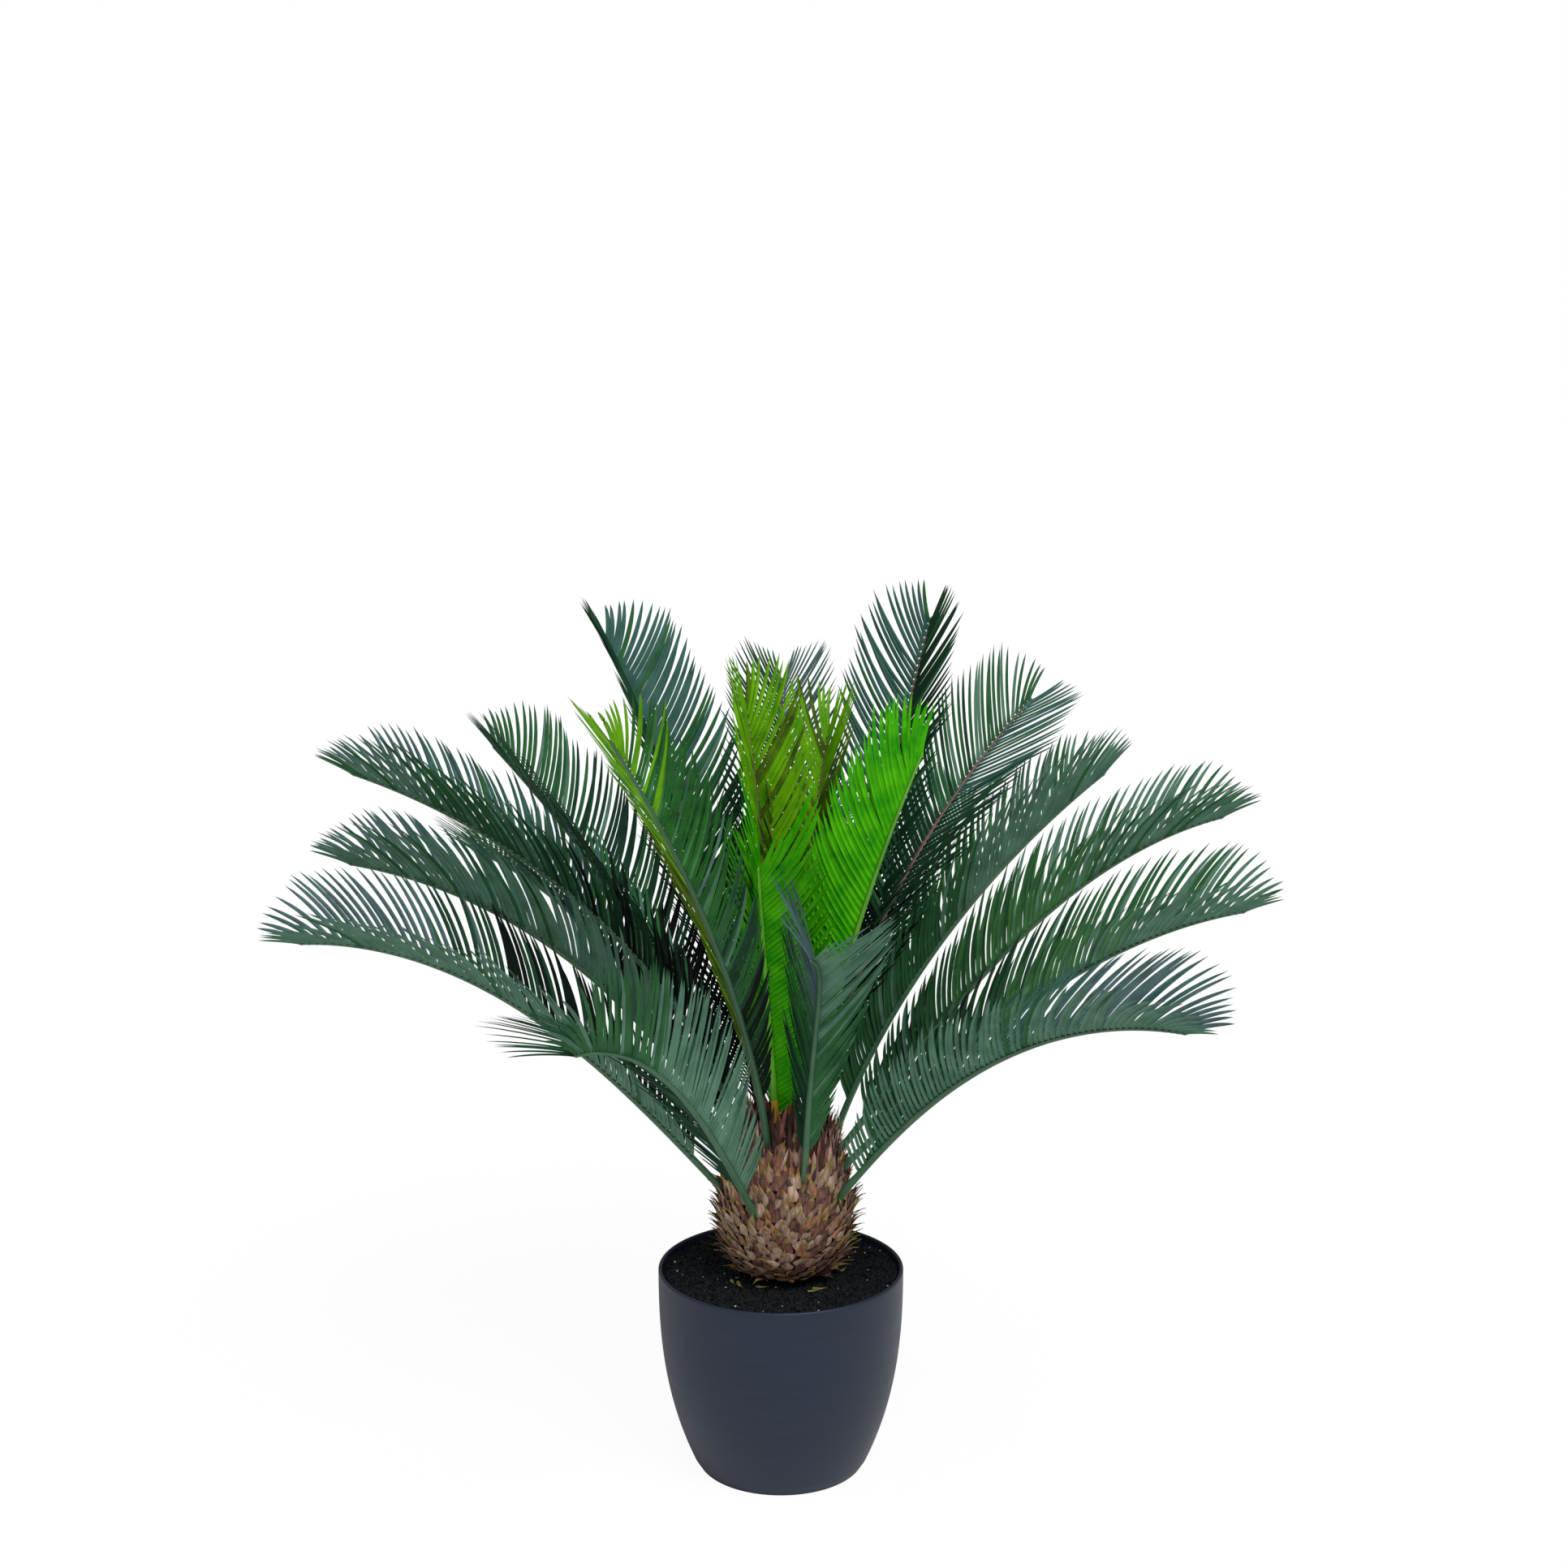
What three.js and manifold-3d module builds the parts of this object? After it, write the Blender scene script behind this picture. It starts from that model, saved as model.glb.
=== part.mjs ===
// An artificial sago palm (cycas) in a round plastic pot.
//
// Millimetres, +Z up. The origin is the centre of the pot's flat underside.
// -Y is the front. A scaly bulb of a trunk stands on the soil, and every frond
// is a rib that arches out of a socket in the trunk, with a row of pointed
// leaflets down each side, raised in a V.

import * as THREE from 'three';
import { mergeVertices } from 'three/addons/utils/BufferGeometryUtils.js';
import Module from 'manifold-3d';

// ---------------------------------------------------------------- dimensions

const GAP = 0.3;                 // clearance between neighbouring pieces

const POT_HEIGHT = 177;
const RIM_RADIUS = 105;
const FOOT_RADIUS = 72;          // where the wall would meet the floor
const FOOT_ROUND = 3;            // rounded edge under the pot
const POT_SWELL = 2.6;           // how late the wall turns in towards the foot
const POT_WALL = 3.2;
const POT_FLOOR = 4;
const POT_SIDES = 44;
const POT_LIP = 1;                           // how far the lip is rounded off
const WALL_HEIGHTS = [16, 34, 56, 84, 120];  // where the wall's curve is sampled
const INNER_HEIGHTS = [16, 56, 120];

const SOIL_LEVEL = 172.5;
const SOIL_CROWN = [[0.8, 0.5], [0.5, 0]];   // share of the rim's radius, depth below the top
const SOIL_EDGE = 2;                         // the soil is lower at the wall

const TRUNK_X = 4;               // the trunk stands a little right of centre
const SCALE_COLUMNS = 14;
const SCALE_ROWS = 10;
const SCALE_STANDOUT = 8;        // how far a scale's point stands off the bulb
const SCALE_LIFT = 6;            // how far the point sits above its scale
const COLLAR_ROWS = 2;           // top rows are upright fibres, not scales
const COLLAR_LIFT = 12;
const COLLAR_SHARE = 0.3;        // a fibre stands out less than a scale
const SCALE_JITTER = 2;
const SCALES_END = 0.94;         // share of the outline that the scales wrap

// Outline of the bulb from the soil up: [radius, height above the soil].
const TRUNK_OUTLINE = [
  [30, 0], [41, 6], [51, 22], [56, 48], [55, 75],
  [50, 96], [45, 110], [40, 122], [32, 130], [16, 135], [0, 137],
];

const SOCKET_DEPTH = 6;          // how far a frond's foot sits in the trunk
const SOCKET_REACH = 26;         // length of frond that the socket clears

const RIB_HALF_WIDTH = [3.2, 1.0];   // at the foot and at the tip
const RIB_EDGE = [2.4, 1.4];         // height of the edge the leaflets grow on
const RIB_KEEL = [4.0, 1.0];         // depth of the keel below that edge

// One set of proportions for the old fronds and one for the young ones. bend is
// where a rib bends: evenly at 1, near the foot below 1, near the tip above 1.
// splay is the angle between leaflet and rib, low on the frond and at its tip,
// and raise is how far a leaflet lifts above flat. Angles are in degrees.
const MATURE = {
  sweep: 0, roll: [0, 0], bend: 1.4, leaflets: 22, leaf: 92, low: 0.4, fade: 0.45, bare: 0.10,
  splay: [49, 40], raise: 40, color: 0x2b5a3c,
};
const YOUNG = {
  sweep: 0, roll: [0, 0], bend: 1.4, leaflets: 18, leaf: 92, low: 0.3, fade: 0.45, bare: 0.13,
  splay: [34, 22], raise: 50, color: 0x4fae1c,
};

const mature = (name, shape) => ({ name, ...MATURE, ...shape });
const young = (name, shape) => ({ name, ...YOUNG, ...shape });

// The crown. heading and sweep are compass angles seen from above, with 0 at +X
// and 90 at the back; sweep is how far the frond turns sideways by its tip.
// foot is the height above the soil, rise and tip are the rib's slopes, and
// roll is how far the rib is turned about its own line, right side down, low on
// the frond and at its tip.
const FRONDS = [
  mature('frond_left_low', {
    heading: 190, foot: 78, length: 431, rise: 49, tip: 0, bend: 2.2, roll: [-12, -12],
  }),
  mature('frond_left_middle', {
    heading: 178, foot: 108, length: 424, rise: 62, tip: 9, bend: 1.2, roll: [24, 2],
  }),
  mature('frond_left_high', {
    heading: 168, foot: 122, length: 476, rise: 78, tip: 16, bend: 0.7, roll: [18, 0],
  }),
  mature('frond_left_steep', {
    heading: 150, sweep: -2, foot: 128, length: 411, rise: 64, tip: 38, bend: 0.7,
  }),
  mature('frond_left_top', {
    heading: 125, foot: 130, length: 473, rise: 67, tip: 43, bend: 1.3, roll: [10, 10], leaf: 98,
  }),
  mature('frond_front_left_high', {
    heading: -115, sweep: 4, foot: 127, length: 478, rise: 79, tip: 40, bend: 0.6, roll: [-2, 12],
    splay: [32, 26], low: 0.2,
  }),
  mature('frond_front_left_low', {
    heading: -119, foot: 71, length: 344, rise: 53, tip: 6, bend: 2.2, roll: [24, 30], leaf: 95,
    fade: 0.1,
  }),
  mature('frond_front', {
    heading: -71, sweep: -34, foot: 103, length: 264, rise: 80, tip: 18, bend: 2.2,
    roll: [-34, -20], splay: [34, 48], low: 0.18, fade: 0.1,
  }),
  mature('frond_back_top', { heading: 92, sweep: -4, foot: 128, length: 432, rise: 72, tip: 34 }),
  mature('frond_right_top', {
    heading: 58, sweep: -14, foot: 127, length: 460, rise: 62, tip: 70, bend: 1.2, roll: [15, 15],
  }),
  mature('frond_right_steep', {
    heading: 40, sweep: 4, foot: 124, length: 446, rise: 84, tip: 32, bend: 0.7, roll: [12, 38],
    raise: 34,
  }),
  mature('frond_right_high', {
    heading: 24, foot: 113, length: 409, rise: 70, tip: 32, bend: 0.8, roll: [-32, -12],
  }),
  mature('frond_right_middle', {
    heading: 4, sweep: 2, foot: 108, length: 444, rise: 53, tip: 13, bend: 2.4, roll: [-26, 6],
  }),
  mature('frond_right_low', {
    heading: -14, foot: 98, length: 417, rise: 47, tip: 13, bend: 2.2, roll: [-10, 12],
  }),
  mature('frond_front_right_low', {
    heading: -36, foot: 78, length: 390, rise: 51, tip: 0, bend: 1.7, roll: [-14, 10],
  }),
  mature('frond_back_left_low', { heading: 140, foot: 97, length: 415, rise: 52, tip: 8 }),
  mature('frond_back_left', { heading: 110, foot: 99, length: 435, rise: 54, tip: 10 }),
  mature('frond_back', { heading: 85, foot: 95, length: 435, rise: 52, tip: 8 }),
  mature('frond_back_right', { heading: 62, foot: 99, length: 435, rise: 54, tip: 10 }),
  young('young_frond_left', {
    heading: 111, foot: 135, length: 360, rise: 85, tip: 67, bend: 1.2, roll: [2, 8],
    splay: [40, 30],
  }),
  young('young_frond_back', { heading: 72, foot: 135, length: 345, rise: 82, tip: 56, splay: [42, 30] }),
  young('young_frond_right', {
    heading: -10, foot: 134, length: 338, rise: 84, tip: 68, bend: 0.6, splay: [46, 28], raise: 60,
    leaf: 98,
  }),
  young('young_frond_front', {
    heading: -140, foot: 136, length: 226, rise: 85, tip: 85, splay: [50, 46], raise: 14,
    bare: 0.06, low: 0.5,
  }),
];

// A leaflet's length swells from the share low to full at LONGEST_AT, and from
// FADE_FROM to the tip it falls by the share fade.
const LONGEST_AT = 0.5;
const FADE_FROM = 0.75;
const FAN_FROM = 0.9;                    // where the last leaflets close in on the rib
const FAN = 22;                          // degrees that they close in by
const FAN_SHORTER = 0.28;                // and the share of length that they lose
const LAST_LEAF = 0.3;                   // the leaflet that ends a rib, as a share
const LEAF_TRIMS = [1, 0.8, 0.6, 0.4];   // a crowded leaflet is cut back by these
const RIB_STEPS = 40;                    // steps in which a rib's line is added up
const RIB_PIECES = 12;                   // straight pieces that stand for a rib's line
const HALVINGS = 24;                     // of the outline, to find a height on it

// ------------------------------------------------------------------- helpers

const wasm = await Module();
wasm.setup();

const radians = THREE.MathUtils.degToRad;
const mix = THREE.MathUtils.lerp;

/** A closed triangle mesh from a list of corners and a list of index triples. */
function meshFrom(corners, triangles) {
  const geometry = new THREE.BufferGeometry();
  const positions = corners.flatMap((p) => [p.x, p.y, p.z]);
  geometry.setAttribute('position', new THREE.Float32BufferAttribute(positions, 3));
  geometry.setIndex(triangles.flat());
  return geometry;
}

/** Geometry to a solid that can be joined and cut. */
function toSolid(geometry) {
  const bare = geometry.clone();
  bare.deleteAttribute('normal');
  bare.deleteAttribute('uv');
  const merged = mergeVertices(bare, 1e-4);
  return new wasm.Manifold(new wasm.Mesh({
    numProp: 3,
    vertProperties: new Float32Array(merged.getAttribute('position').array),
    triVerts: new Uint32Array(merged.getIndex().array),
  }));
}

/** A solid back to geometry. */
function toGeometry(solid) {
  const { vertProperties, triVerts } = solid.getMesh();
  const geometry = new THREE.BufferGeometry();
  geometry.setAttribute('position', new THREE.BufferAttribute(vertProperties, 3));
  geometry.setIndex(new THREE.BufferAttribute(triVerts, 1));
  return geometry;
}

function named(name, geometry, color, roughness) {
  const material = new THREE.MeshStandardMaterial({ color, roughness, metalness: 0 });
  geometry.computeVertexNormals();
  const mesh = new THREE.Mesh(geometry, material);
  mesh.name = name;
  return mesh;
}

/** A repeatable number from -1 to 1 for a pair of whole numbers. */
function scatter(a, b) {
  const wave = Math.sin(a * 127.1 + b * 311.7) * 43758.5453;
  return 2 * (wave - Math.floor(wave)) - 1;
}

/** Turns an outline of [radius, height] about the upright axis. */
function turned(outline, sides) {
  const points = outline.map(([radius, height]) => new THREE.Vector2(radius, height));
  return new THREE.LatheGeometry(points, sides).rotateX(Math.PI / 2);
}

// ------------------------------------------------------------- pot and soil

/** Outer radius of the pot's wall at a height: upright at the rim, curving in below. */
function potRadius(height) {
  const down = 1 - height / POT_HEIGHT;
  return RIM_RADIUS - (RIM_RADIUS - FOOT_RADIUS) * down ** POT_SWELL;
}

function potGeometry() {
  const corner = FOOT_ROUND * (1 - Math.SQRT1_2);
  const foot = [[0, 0], [potRadius(0) - FOOT_ROUND, 0], [potRadius(0) - corner, corner]];
  const wall = [FOOT_ROUND, ...WALL_HEIGHTS].map((height) => [potRadius(height), height]);
  const lip = [
    [RIM_RADIUS, POT_HEIGHT - POT_LIP],
    [RIM_RADIUS - POT_WALL / 2, POT_HEIGHT],
    [RIM_RADIUS - POT_WALL, POT_HEIGHT - POT_LIP],
  ];
  const inner = [POT_FLOOR, ...INNER_HEIGHTS].map((height) => [potRadius(height) - POT_WALL, height]);
  return turned([...foot, ...wall, ...lip, ...inner.reverse(), [0, POT_FLOOR]], POT_SIDES);
}

function soilGeometry() {
  const clear = POT_WALL + 2 * GAP;
  const bottom = POT_FLOOR + GAP;
  const side = [bottom, ...INNER_HEIGHTS].map((height) => [potRadius(height) - clear, height]);
  const edge = [potRadius(SOIL_LEVEL) - clear, SOIL_LEVEL - SOIL_EDGE];
  const crown = SOIL_CROWN.map(([share, depth]) => [RIM_RADIUS * share, SOIL_LEVEL - depth]);
  return turned([[0, bottom], ...side, edge, ...crown, [0, SOIL_LEVEL]], POT_SIDES);
}

// -------------------------------------------------------------------- trunk

const trunkCurve = new THREE.SplineCurve(
  TRUNK_OUTLINE.map(([radius, height]) => new THREE.Vector2(radius, height)),
);

/** Radius of the bulb at a height above the soil. */
function trunkRadius(height) {
  let low = 0;
  let high = 1;
  for (let halving = 0; halving < HALVINGS; halving += 1) {
    const middle = (low + high) / 2;
    if (trunkCurve.getPoint(middle).y < height) {
      low = middle;
    } else {
      high = middle;
    }
  }
  return trunkCurve.getPoint(low).x;
}

/**
 * The bulb is wrapped in a net of diamonds, each row shifted by half a diamond.
 * Every diamond is a scale: four faces that meet in a point standing off the bulb.
 */
function trunkGeometry() {
  const foot = SOIL_LEVEL + GAP;
  const corners = [];
  const triangles = [];
  const last = SCALE_ROWS;
  const add = (point) => corners.push(point) - 1;
  const ring = (row, column, out = 0, up = 0) => {
    const outline = trunkCurve.getPointAt((SCALES_END * row) / last);
    const turn = ((column + (row % 2) / 2) / SCALE_COLUMNS) * 2 * Math.PI;
    const radius = outline.x + out;
    const [x, y] = [radius * Math.cos(turn), radius * Math.sin(turn)];
    return new THREE.Vector3(TRUNK_X + x, y, foot + outline.y + up);
  };
  const grid = [];
  for (let row = 0; row <= last; row += 1) {
    grid.push([...Array(SCALE_COLUMNS).keys()].map((column) => add(ring(row, column))));
  }
  const at = (row, column) => grid[row][(column + SCALE_COLUMNS) % SCALE_COLUMNS];
  for (let row = 0; row <= last; row += 1) {
    for (let column = 0; column < SCALE_COLUMNS; column += 1) {
      const shift = row % 2;
      const left = at(row, column);
      const right = at(row, column + 1);
      if (row === 0) {
        triangles.push([left, right, at(1, column)]);
      } else if (row === last) {
        triangles.push([left, at(last - 1, column + shift), right]);
      } else {
        const collar = row > last - 1 - COLLAR_ROWS;
        const out = (collar ? COLLAR_SHARE : 1) * SCALE_STANDOUT + scatter(row, column) * SCALE_JITTER;
        const lift = collar ? COLLAR_LIFT : (SCALE_LIFT * row) / last;
        const up = lift + scatter(column, row) * SCALE_JITTER;
        const point = add(ring(row, column + 0.5, out, up));
        const below = at(row - 1, column + shift);
        const above = at(row + 1, column + shift);
        triangles.push([left, below, point], [below, right, point]);
        triangles.push([right, above, point], [above, left, point]);
      }
    }
  }
  const under = add(new THREE.Vector3(TRUNK_X, 0, foot));
  const crown = add(new THREE.Vector3(TRUNK_X, 0, foot + TRUNK_OUTLINE.at(-1)[1]));
  for (let column = 0; column < SCALE_COLUMNS; column += 1) {
    triangles.push([under, at(0, column + 1), at(0, column)]);
    triangles.push([crown, at(last, column), at(last, column + 1)]);
  }
  return meshFrom(corners, triangles);
}

// ------------------------------------------------------------------- fronds

/** Direction of a frond's rib at u, from 0 at the foot to 1 at the tip. */
function ribDirection(frond, u) {
  const slope = radians(frond.rise + (frond.tip - frond.rise) * u ** frond.bend);
  const heading = radians(frond.heading + frond.sweep * u * u);
  return new THREE.Vector3(
    Math.cos(slope) * Math.cos(heading),
    Math.cos(slope) * Math.sin(heading),
    Math.sin(slope),
  );
}

/** The rib's place and its forward, right and up directions at u. */
function ribFrame(frond, u) {
  const forward = ribDirection(frond, u);
  const start = radians(frond.heading);
  const radius = trunkRadius(frond.foot);
  const place = new THREE.Vector3(
    TRUNK_X + radius * Math.cos(start),
    radius * Math.sin(start),
    SOIL_LEVEL + GAP + frond.foot,
  ).addScaledVector(ribDirection(frond, 0), -SOCKET_DEPTH);
  for (let step = 0; step < RIB_STEPS; step += 1) {
    const middle = (u * (step + 0.5)) / RIB_STEPS;
    place.addScaledVector(ribDirection(frond, middle), (frond.length * u) / RIB_STEPS);
  }
  const heading = radians(frond.heading + frond.sweep * u * u);
  const level = new THREE.Vector3(Math.sin(heading), -Math.cos(heading), 0);
  const right = level.applyAxisAngle(forward, radians(mix(...frond.roll, u)));
  const up = new THREE.Vector3().crossVectors(right, forward);
  return { place, forward, right, up };
}

/** The rib's five-cornered section: two upright edges, a flat top and a keel. */
function ribSection(frond, u, grow = 0) {
  const { place, right, up } = ribFrame(frond, u);
  const half = mix(...RIB_HALF_WIDTH, u) + grow;
  const edge = mix(...RIB_EDGE, u) / 2 + grow;
  const keel = edge + mix(...RIB_KEEL, u) + grow;
  const corners = [[-half, edge], [half, edge], [half, -edge], [0, -keel], [-half, -edge]];
  return corners.map(([across, height]) => (
    place.clone().addScaledVector(right, across).addScaledVector(up, height)
  ));
}

/** How far a leaflet at t belongs to the fan at the tip, from 0 to 1. */
function fanShare(t) {
  return Math.max((t - FAN_FROM) / (1 - FAN_FROM), 0);
}

/** Length of a leaflet at t, from 0 at the lowest to 1 at the last, as a share of the longest. */
function leafShare(frond, t) {
  const swell = mix(frond.low, 1, Math.sin((Math.PI / 2) * Math.min(t / LONGEST_AT, 1)));
  const fade = 1 - frond.fade * Math.max((t - FADE_FROM) / (1 - FADE_FROM), 0) ** 2;
  return swell * fade * (1 - FAN_SHORTER * fanShare(t));
}

/** Every leaflet of a frond as its root on the rib and its untrimmed point. */
function leafletsOf(frond) {
  const { leaflets, leaf, bare, splay, raise } = frond;
  const found = [];
  for (let index = 0; index < leaflets; index += 1) {
    const t = (index + 0.5) / leaflets;
    const u = mix(bare, 1, t);
    const { forward, right, up } = ribFrame(frond, u);
    const before = ribSection(frond, mix(bare, 1, index / leaflets));
    const after = ribSection(frond, mix(bare, 1, (index + 1) / leaflets));
    const angle = radians(mix(...splay, t * t) - FAN * fanShare(t));
    for (const side of [1, -1]) {
      const across = right.clone().multiplyScalar(side * Math.cos(radians(raise)))
        .addScaledVector(up, Math.sin(radians(raise)));
      const along = forward.clone().multiplyScalar(Math.cos(angle))
        .addScaledVector(across, Math.sin(angle));
      const [high, low] = side > 0 ? [1, 2] : [0, 4];
      const rootBefore = before[high].clone().lerp(before[low], 0.5);
      const rootAfter = after[high].clone().lerp(after[low], 0.5);
      const root = rootBefore.clone().lerp(rootAfter, 0.5);
      const length = leaf * leafShare(frond, t);
      found.push({ frond, index, side, u, root, along, rootBefore, rootAfter, length });
    }
  }
  return found;
}

/** Shortest distance between two line segments. */
function segmentGap(a, b, c, d) {
  const first = b.clone().sub(a);
  const second = d.clone().sub(c);
  const between = a.clone().sub(c);
  const [p, q, r] = [first.lengthSq(), first.dot(second), second.lengthSq()];
  const [s, t] = [first.dot(between), second.dot(between)];
  const spread = p * r - q * q;
  let along = spread > 1e-9 ? THREE.MathUtils.clamp((q * t - s * r) / spread, 0, 1) : 0;
  const other = THREE.MathUtils.clamp((q * along + t) / r, 0, 1);
  along = THREE.MathUtils.clamp((q * other - s) / p, 0, 1);
  return a.clone().addScaledVector(first, along).distanceTo(c.clone().addScaledVector(second, other));
}

/** Whether a segment passes through a triangle. */
function pierces(from, to, triangle) {
  const ray = new THREE.Ray(from, to.clone().sub(from).normalize());
  const hit = ray.intersectTriangle(triangle.a, triangle.b, triangle.c, false, new THREE.Vector3());
  return hit !== null && hit.distanceTo(from) <= from.distanceTo(to);
}

/** Shortest distance between two triangles, zero where they cross. */
function triangleGap(one, two) {
  const sides = (t) => [[t.a, t.b], [t.b, t.c], [t.c, t.a]];
  const nearest = new THREE.Vector3();
  let gap = Infinity;
  for (const [from, to] of sides(one)) {
    if (pierces(from, to, two)) {
      return 0;
    }
    gap = Math.min(gap, two.closestPointToPoint(from, nearest).distanceTo(from));
    for (const [start, end] of sides(two)) {
      gap = Math.min(gap, segmentGap(from, to, start, end));
    }
  }
  for (const [from, to] of sides(two)) {
    if (pierces(from, to, one)) {
      return 0;
    }
    gap = Math.min(gap, one.closestPointToPoint(from, nearest).distanceTo(from));
  }
  return gap;
}

/** A flat triangle with the ball around it and half its thickness. */
function blade(owner, a, b, c, half) {
  const triangle = new THREE.Triangle(a, b, c);
  const center = triangle.getMidpoint(new THREE.Vector3());
  const reach = Math.max(...[a, b, c].map((corner) => center.distanceTo(corner))) + half;
  return { owner, triangle, center, reach, half };
}

/** The ribs as thin blades, so that no leaflet runs into one. */
function ribBlades(frond) {
  const found = [];
  for (let index = 0; index < RIB_PIECES; index += 1) {
    const u = index / RIB_PIECES;
    const from = ribFrame(frond, u).place;
    const to = ribFrame(frond, (index + 1) / RIB_PIECES).place;
    const beside = to.clone().addScaledVector(ribFrame(frond, u).up, GAP);
    found.push(blade(frond, from, to, beside, mix(...RIB_KEEL, u) + RIB_EDGE[0] / 2));
  }
  return found;
}

/** Leaflets are grown from the tips inwards, each cut back until it is clear of the rest. */
function growLeaflets() {
  const taken = FRONDS.flatMap(ribBlades);
  const half = RIB_EDGE[0] / 2;
  const candidates = FRONDS.flatMap(leafletsOf).sort((one, two) => two.u - one.u);
  const grown = new Map(FRONDS.map((frond) => [frond, new Map()]));
  for (const leaf of candidates) {
    for (const trim of LEAF_TRIMS) {
      const point = leaf.root.clone().addScaledVector(leaf.along, leaf.length * trim);
      const shape = blade(leaf.frond, leaf.rootBefore, leaf.rootAfter, point, half);
      const blocked = taken.some((other) => other.owner !== leaf.frond
        && other.center.distanceTo(shape.center) < other.reach + shape.reach + GAP
        && triangleGap(other.triangle, shape.triangle) < other.half + shape.half + GAP);
      if (!blocked) {
        taken.push(shape);
        grown.get(leaf.frond).set(`${leaf.index}:${leaf.side}`, point);
        break;
      }
    }
  }
  return grown;
}

/** The three triangles that close a rib's five-cornered section. */
function fanOf(ring) {
  return [[ring[0], ring[1], ring[2]], [ring[0], ring[2], ring[3]], [ring[0], ring[3], ring[4]]];
}

/** A rib with its leaflets: each leaflet is four faces from the rib's edge to a point. */
function frondGeometry(frond, leafPoints) {
  const { leaflets, bare } = frond;
  const corners = [];
  const triangles = [];
  const shares = [...Array(leaflets + 1).keys()].map((index) => index / leaflets);
  const stations = [0, bare / 2, ...shares.map((share) => mix(bare, 1, share))];
  const rings = stations.map((u) => ribSection(frond, u).map((point) => corners.push(point) - 1));
  const quad = (a, b, c, d) => triangles.push([a, b, c], [a, c, d]);
  for (let index = 0; index + 1 < rings.length; index += 1) {
    const near = rings[index];
    const far = rings[index + 1];
    for (let edge = 0; edge < 5; edge += 1) {
      const next = (edge + 1) % 5;
      const side = { 1: 1, 4: -1 }[edge];
      const point = leafPoints.get(`${index - 2}:${side}`);
      if (point) {
        const tip = corners.push(point) - 1;
        const loop = [near[edge], near[next], far[next], far[edge]];
        loop.forEach((corner, place) => triangles.push([corner, loop[(place + 1) % 4], tip]));
      } else {
        quad(near[edge], near[next], far[next], far[edge]);
      }
    }
  }
  triangles.push(...fanOf(rings[0]).map(([a, b, c]) => [a, c, b]));
  const end = ribFrame(frond, 1);
  const tip = corners.push(end.place.clone().addScaledVector(end.forward, frond.leaf * LAST_LEAF)) - 1;
  rings.at(-1).forEach((corner, place, ring) => triangles.push([corner, ring[(place + 1) % 5], tip]));
  return meshFrom(corners, triangles);
}

/** The hole that a frond's foot needs in the trunk: the rib, a little larger all round. */
function socketGeometry(frond) {
  const corners = [];
  const triangles = [];
  const end = SOCKET_REACH / frond.length;
  const sections = [0, end / 2, end].map((u) => ribSection(frond, u, GAP));
  sections[0].forEach((point) => point.addScaledVector(ribDirection(frond, 0), -GAP));
  const rings = sections.map((section) => section.map((point) => corners.push(point) - 1));
  for (let index = 0; index + 1 < rings.length; index += 1) {
    const near = rings[index];
    const far = rings[index + 1];
    for (let edge = 0; edge < 5; edge += 1) {
      const next = (edge + 1) % 5;
      triangles.push([near[edge], near[next], far[next]], [near[edge], far[next], far[edge]]);
    }
  }
  triangles.push(...fanOf(rings[0]).map(([a, b, c]) => [a, c, b]), ...fanOf(rings.at(-1)));
  return meshFrom(corners, triangles);
}

// ----------------------------------------------------------------- assembly

const palm = new THREE.Group();
palm.name = 'sago_palm';

palm.add(named('pot', potGeometry(), 0x34363b, 0.55));
palm.add(named('soil', soilGeometry(), 0x0f0f10, 0.95));

let trunk = toSolid(trunkGeometry());
for (const frond of FRONDS) {
  trunk = trunk.subtract(toSolid(socketGeometry(frond)));
}
palm.add(named('trunk', toGeometry(trunk), 0x6b4f45, 0.85));

const leafPoints = growLeaflets();
for (const frond of FRONDS) {
  palm.add(named(frond.name, frondGeometry(frond, leafPoints.get(frond)), frond.color, 0.6));
}

export default palm;
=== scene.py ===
# %% [markdown]
# # An artificial sago palm in a plastic pot
#
# A moulded palm stands in a round charcoal pot: black granules, a bulb of a trunk
# wrapped in spiny scales, a collar of brown fibre, and twenty-three feather fronds.
# The solids of the frame already say where everything is. This notebook dresses
# them: it makes each real surface as an array of points worked out with numpy,
# gives it a procedural finish, and lets it ride on the frame's one body.
#
# Lengths are in metres and angles in degrees. The origin is the middle of the
# pot's underside, -Y is the front, and the same rules place the fronds here as in
# the solids, so that every rib comes out where its solid is.

import math

import bpy
import numpy as np
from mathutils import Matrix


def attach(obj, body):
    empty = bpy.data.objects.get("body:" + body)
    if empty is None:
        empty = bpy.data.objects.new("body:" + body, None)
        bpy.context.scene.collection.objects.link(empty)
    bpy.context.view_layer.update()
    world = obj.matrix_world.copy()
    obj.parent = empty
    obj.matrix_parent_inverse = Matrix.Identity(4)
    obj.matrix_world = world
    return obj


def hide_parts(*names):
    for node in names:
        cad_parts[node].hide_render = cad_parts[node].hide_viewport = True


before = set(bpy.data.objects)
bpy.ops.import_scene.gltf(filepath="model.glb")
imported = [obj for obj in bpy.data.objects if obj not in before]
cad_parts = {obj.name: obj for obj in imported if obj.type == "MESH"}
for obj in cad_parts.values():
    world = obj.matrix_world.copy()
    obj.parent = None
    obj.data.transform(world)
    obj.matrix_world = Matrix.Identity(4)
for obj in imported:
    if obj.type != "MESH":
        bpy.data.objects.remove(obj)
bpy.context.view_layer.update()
rng = np.random.default_rng(20240611)

# %% [markdown]
# ## The view
#
# The camera looks a little down on the plant from just under two metres away, with
# a longish lens, so the pot's rim shows as a shallow ellipse and the fronds keep
# their true proportions. It comes first because it is how every later step is judged.

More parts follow.
